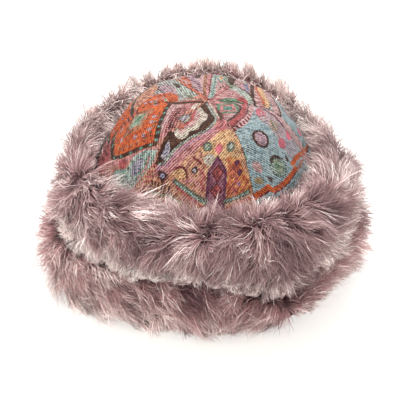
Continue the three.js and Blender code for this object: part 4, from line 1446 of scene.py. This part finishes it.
def fur_material(settings):
    """Faux fur: plum roots, darkened as painted shade deep in the pile, dusty mauve along the hair and pale
    frosted tips, with painted shade in the partings and creases and painted light on the shaded back crest.
    """
    material, nodes = new_material("faux_fur")

    along = nodes.attribute("along")
    tint = nodes.attribute("tint")
    tone = nodes.attribute("tone")
    blush = nodes.attribute("blush")
    # Pale marks are frosted tufts, and painted light on the shaded back crest; dark marks are painted shade
    # in partings and creases.
    pale = tone.math("MAXIMUM", 0.0)
    dark = (-tone).math("MAXIMUM", 0.0)
    middle = nodes.mix(blush, tuple(settings.middle_colour), tuple(settings.pink_colour))
    body = nodes.mix((pale * PALE_BODY).clamp(), middle, tuple(settings.tip_colour))
    root = nodes.mix((pale * PALE_ROOT).clamp(), tuple(settings.root_and_pile_shade_colour), tuple(settings.middle_colour))
    grown = nodes.mix(along.step(*ROOT_END), root, body)
    frosting = FROST_LEAST + pale * FROST_BY_PALE + tint * FROST_BY_TINT - dark * FROST_LOST_TO_SHADE
    frost = (along.step(*FROST_RISE) * frosting).clamp()
    white = (tint + pale * WHITE_BY_PALE).step(*WHITE_TINTS) * along.step(*WHITE_RISE) * (1.0 - dark)
    frosted = nodes.mix((frost + white * WHITE_SHARE).clamp(), grown, tuple(settings.tip_colour))
    # Dark marks turn the hair towards the parting colour: painted shade.
    deep = nodes.mix((dark * PAINTED_SHADE_SHARE).clamp(), frosted, tuple(settings.parting_shade_colour))
    shade = SHADE + tint * (SHADE_BY_TINT + pale.math("MINIMUM", 1.0) * SHADE_BY_PALE)
    shaded = nodes.scaled(deep, shade)
    look = {"Roughness": 0.55, "Specular IOR Level": 0.35, "Sheen Weight": 0.2, "Sheen Roughness": 0.4}
    finish_material(nodes, look, {"Base Color": shaded})
    return material


def backing_material(settings):
    """The knitted ground under the pile, painted dark as the shade between the strands."""
    material, nodes = new_material("fur_ground_painted_shade")
    place = nodes.add("ShaderNodeTexCoord")["Object"]
    mottle = nodes.noise(place, MOTTLE_NOISE, 3.0)
    pale = nodes.attribute("tone").clamp()
    # The ground mottles between painted shade and the root colour.
    ground = nodes.mix(mottle, tuple(settings.parting_shade_colour), tuple(settings.root_and_pile_shade_colour))
    colour = nodes.mix(pale * PALE_GROUND, ground, tuple(settings.middle_colour))
    bump = nodes.add("ShaderNodeBump", {}, {"Strength": 0.5, "Distance": 0.001, "Height": mottle})["Normal"]
    links = {"Base Color": colour, "Normal": bump}
    finish_material(nodes, {"Roughness": 0.9, "Specular IOR Level": 0.2}, links)
    return material


# The stage: the floor, where its painted reflection and shade before the hat gives way, the camera and the
# lamps, in metres
FLOOR_HALF = 4.0
FLOOR_LOOK = {
    "Base Color": (0.4, 0.39, 0.37, 1.0),
    "Roughness": 0.7,
    "Specular IOR Level": 0.2,
    "Emission Strength": 1.0,
}
NEAR_BOUNCE_SPAN = (-0.16, 0.03)
SENSOR_WIDTH = 36.0
CAMERA_AIM = (AXIS_X * MM - 0.00264, AXIS_Y * MM, 0.051)
LAMP_AIM = (0.0, 0.0, 0.06)
LAMPS = (
    ("lamp_above", (-0.35, -0.3, 1.3), 1.0, (1.0, 0.98, 0.95)),
    ("lamp_behind", (0.3, 1.1, 0.9), 1.2, (1.0, 0.97, 0.95)),
)
SKY_COLOUR = (1.0, 0.99, 0.975, 1.0)


def make_floor(settings):
    """A wide pale glowing floor, whose glow is a little warmer and dimmer near the hat's front: a painted
    reflection of the hat and faint shade.
    """
    material, nodes = new_material("floor")
    place = nodes.add("ShaderNodeTexCoord")["Object"]
    split = nodes.add("ShaderNodeSeparateXYZ", {}, {"Vector": place})
    # The glow turns dimmer and warmer before the hat: painted reflection of the hat and faint shade.
    warm = 1.0 - split["Y"].step(*NEAR_BOUNCE_SPAN)
    glow = nodes.mix(warm, tuple(settings.far_colour), tuple(settings.near_bounce_colour))
    finish_material(nodes, FLOOR_LOOK, {"Emission Color": glow})
    corners = [(x * FLOOR_HALF, y * FLOOR_HALF, 0) for x, y in ((-1, -1), (1, -1), (1, 1), (-1, 1))]
    new_object("floor", corners, [(0, 1, 2, 3)], material)


def make_light(name, place, aim, size, power, colour):
    light = bpy.data.lights.new(name, "AREA")
    light.shape = "DISK"
    light.size = size
    light.energy = power
    light.color = colour
    lamp = link_object(name, light)
    lamp.location = place
    across, deep, down = np.array(aim) - np.array(place)
    lamp.rotation_euler = (math.atan2(math.hypot(across, deep), -down), 0.0, math.atan2(-across, deep))


def make_camera(settings):
    camera = bpy.data.cameras.new("camera")
    camera.sensor_width = SENSOR_WIDTH
    camera.lens = SENSOR_WIDTH / 2 / math.tan(settings.view_angle / 2)
    camera.clip_start = 0.01
    holder = link_object("camera", camera)
    aim_x, aim_y, aim_z = CAMERA_AIM
    back = settings.camera_distance * math.cos(settings.elevation)
    up = settings.camera_distance * math.sin(settings.elevation)
    holder.location = (aim_x, aim_y - back, aim_z + up)
    holder.rotation_euler = (math.pi / 2 - settings.elevation, 0.0, 0.0)
    bpy.context.scene.camera = holder


# Settings, operators and panel
class CrownSettings(bpy.types.PropertyGroup):
    cloth_rows: bpy.props.IntProperty(
        name="Cloth Rows", description="Rows of cells down a gore", default=144, min=8
    )
    cloth_columns: bpy.props.IntProperty(
        name="Cloth Columns", description="Cells across a gore", default=104, min=4
    )
    twill_pitch: bpy.props.FloatProperty(
        name="Twill Pitch", description="Distance between the ribs of the weave",
        default=0.0019, unit="LENGTH",
    )
    stitch_length: bpy.props.FloatProperty(
        name="Stitch Length", description="Length of a stitch along a rib", default=0.0028, unit="LENGTH"
    )
    gap_depth: bpy.props.FloatProperty(
        name="Gaps", description="How dark the gaps between the ribs are", default=0.93, subtype="FACTOR"
    )
    gap_colour: bpy.props.FloatVectorProperty(
        name="Gap Colour", description="Dark ground yarn that shows between the ribs",
        default=srgb("302428"), size=4, subtype="COLOR",
    )


class FurSettings(bpy.types.PropertyGroup):
    pile_depth: bpy.props.FloatProperty(
        name="Pile Depth", description="Depth of the fur over its ground cloth", default=0.007, unit="LENGTH"
    )
    edge_ridge: bpy.props.FloatProperty(
        name="Edge Ridge", description="How far the rolls' low edges stand out", default=0.004, unit="LENGTH"
    )
    strand_density: bpy.props.FloatProperty(
        name="Strands per Area", description="Strands on each square metre", default=1500000.0
    )
    lock_density: bpy.props.FloatProperty(
        name="Locks per Area", description="Locks on each square metre", default=50000.0
    )
    strand_width: bpy.props.FloatProperty(
        name="Strand Width", description="Width of a strand at its root", default=0.00062, unit="LENGTH"
    )
    length_share: bpy.props.FloatProperty(
        name="Length", description="Length of the strands against the combed length",
        default=1.0, subtype="FACTOR",
    )
    lift: bpy.props.FloatProperty(
        name="Lift", description="How far the strands stand up from their ground",
        default=0.75, subtype="FACTOR",
    )
    gather: bpy.props.FloatProperty(
        name="Gather", description="How far the tips draw together into locks",
        default=0.65, subtype="FACTOR",
    )
    droop: bpy.props.FloatProperty(
        name="Droop", description="How far the tips fall back", default=0.34, subtype="FACTOR"
    )
    # The fur's own darker roots, darkened further as painted shade deep in the pile
    root_and_pile_shade_colour: bpy.props.FloatVectorProperty(
        name="Root Colour", description="Colour at the roots",
        default=srgb("4E2C30"), size=4, subtype="COLOR",
    )
    middle_colour: bpy.props.FloatVectorProperty(
        name="Middle Colour", description="Colour along the hair",
        default=srgb("AE8B8C"), size=4, subtype="COLOR",
    )
    pink_colour: bpy.props.FloatVectorProperty(
        name="Pink Colour", description="Warmer colour of the lower roll",
        default=srgb("C69494"), size=4, subtype="COLOR",
    )
    tip_colour: bpy.props.FloatVectorProperty(
        name="Tip Colour", description="Colour of the frosted tips",
        default=srgb("FCF0EC"), size=4, subtype="COLOR",
    )
    # Painted shade colour for the partings and creases
    parting_shade_colour: bpy.props.FloatVectorProperty(
        name="Deep Colour", description="Colour in the partings",
        default=srgb("46262C"), size=4, subtype="COLOR",
    )


class StageSettings(bpy.types.PropertyGroup):
    far_colour: bpy.props.FloatVectorProperty(
        name="Far Floor", description="Glow of the floor behind the hat",
        default=(0.8, 0.8, 0.8, 1), size=4, subtype="COLOR",
    )
    # Painted reflection of the hat and faint shade on the floor before it
    near_bounce_colour: bpy.props.FloatVectorProperty(
        name="Near Floor", description="Glow of the floor before the hat",
        default=(0.56, 0.55, 0.53, 1), size=4, subtype="COLOR",
    )
    elevation: bpy.props.FloatProperty(
        name="Elevation", description="Camera's angle above the floor",
        default=math.radians(32), subtype="ANGLE",
    )
    camera_distance: bpy.props.FloatProperty(
        name="Camera Distance", description="From the camera to the hat", default=1.05, unit="LENGTH"
    )
    view_angle: bpy.props.FloatProperty(
        name="View Angle", description="Camera's angle of view", default=math.radians(19.03), subtype="ANGLE"
    )
    sky_strength: bpy.props.FloatProperty(
        name="Sky", description="Strength of the light all round", default=0.95
    )
    lamp_power: bpy.props.FloatProperty(
        name="Lamp", description="Power of the soft lamp above the hat", default=15.0, unit="POWER"
    )


class MakeCrown(bpy.types.Operator):
    """Make the six cloth gores of the crown"""

    bl_idname = "toque.make_crown"
    bl_label = "Crown"

    def execute(self, context):
        settings = context.scene.toque_crown
        material = jacquard_material(settings)
        for number, (name, middle, chart, twill) in enumerate(GORES):
            make_gore(settings, name, middle, chart, twill, number, material)
        return {"FINISHED"}


class MakeFur(bpy.types.Operator):
    """Make the two fur rolls: their ground cloth and their strands"""

    bl_idname = "toque.make_fur"
    bl_label = "Fur Cuff"

    def execute(self, context):
        settings = context.scene.toque_fur
        ground = backing_material(settings)
        hair = fur_material(settings)
        for roll in (CUFF, HEM):
            make_backing(settings, roll, ground)
        helpers = (strand_template(), crown_guard())
        tree = fur_tree()
        for number, name in enumerate(("front", "right", "back", "left")):
            sector = (number * 90 - 45, number * 90 + 45)
            seed = CUFF_SEED + number
            make_strands(settings, f"cuff_fur_{name}", CUFF, sector, seed, tree, helpers, hair)
        for number, name in enumerate(("front", "back")):
            sector = (number * 180 - 90, number * 180 + 90)
            seed = HEM_SEED + number
            make_strands(settings, f"hem_fur_{name}", HEM, sector, seed, tree, helpers, hair)
        for helper in helpers:
            bpy.data.objects.remove(helper)
        bpy.data.node_groups.remove(tree)
        return {"FINISHED"}


class MakeStage(bpy.types.Operator):
    """Make the floor, the light and the camera"""

    bl_idname = "toque.make_stage"
    bl_label = "Stage"

    def execute(self, context):
        settings = context.scene.toque_stage
        context.scene.view_settings.view_transform = "Standard"
        make_floor(settings)
        world = bpy.data.worlds.new("studio")
        world.use_nodes = True
        background = world.node_tree.nodes["Background"]
        background.inputs["Color"].default_value = SKY_COLOUR
        background.inputs["Strength"].default_value = settings.sky_strength
        context.scene.world = world
        for name, place, size, colour in LAMPS:
            make_light(name, place, LAMP_AIM, size, settings.lamp_power, colour)
        make_camera(settings)
        return {"FINISHED"}


class ToquePanel(bpy.types.Panel):
    """The toque's parts and sizes"""

    bl_idname = "VIEW3D_PT_toque"
    bl_label = "Toque"
    bl_space_type = "VIEW_3D"
    bl_region_type = "UI"
    bl_category = "Toque"

    def draw(self, context):
        groups = (
            (MakeStage, context.scene.toque_stage),
            (MakeCrown, context.scene.toque_crown),
            (MakeFur, context.scene.toque_fur),
        )
        for operator, settings in groups:
            box = self.layout.box()
            box.operator(operator.bl_idname)
            for name in settings.bl_rna.properties.keys():
                if name not in ("rna_type", "name"):
                    box.prop(settings, name)


CLASSES = (CrownSettings, FurSettings, StageSettings, MakeCrown, MakeFur, MakeStage, ToquePanel)


def register():
    for item in CLASSES:
        bpy.utils.register_class(item)
    bpy.types.Scene.toque_crown = bpy.props.PointerProperty(type=CrownSettings)
    bpy.types.Scene.toque_fur = bpy.props.PointerProperty(type=FurSettings)
    bpy.types.Scene.toque_stage = bpy.props.PointerProperty(type=StageSettings)


def unregister():
    del bpy.types.Scene.toque_stage
    del bpy.types.Scene.toque_fur
    del bpy.types.Scene.toque_crown
    for item in reversed(CLASSES):
        bpy.utils.unregister_class(item)


def main():
    register()
    bpy.ops.toque.make_stage()
    bpy.ops.toque.make_crown()
    bpy.ops.toque.make_fur()


if __name__ == "__main__":
    main()
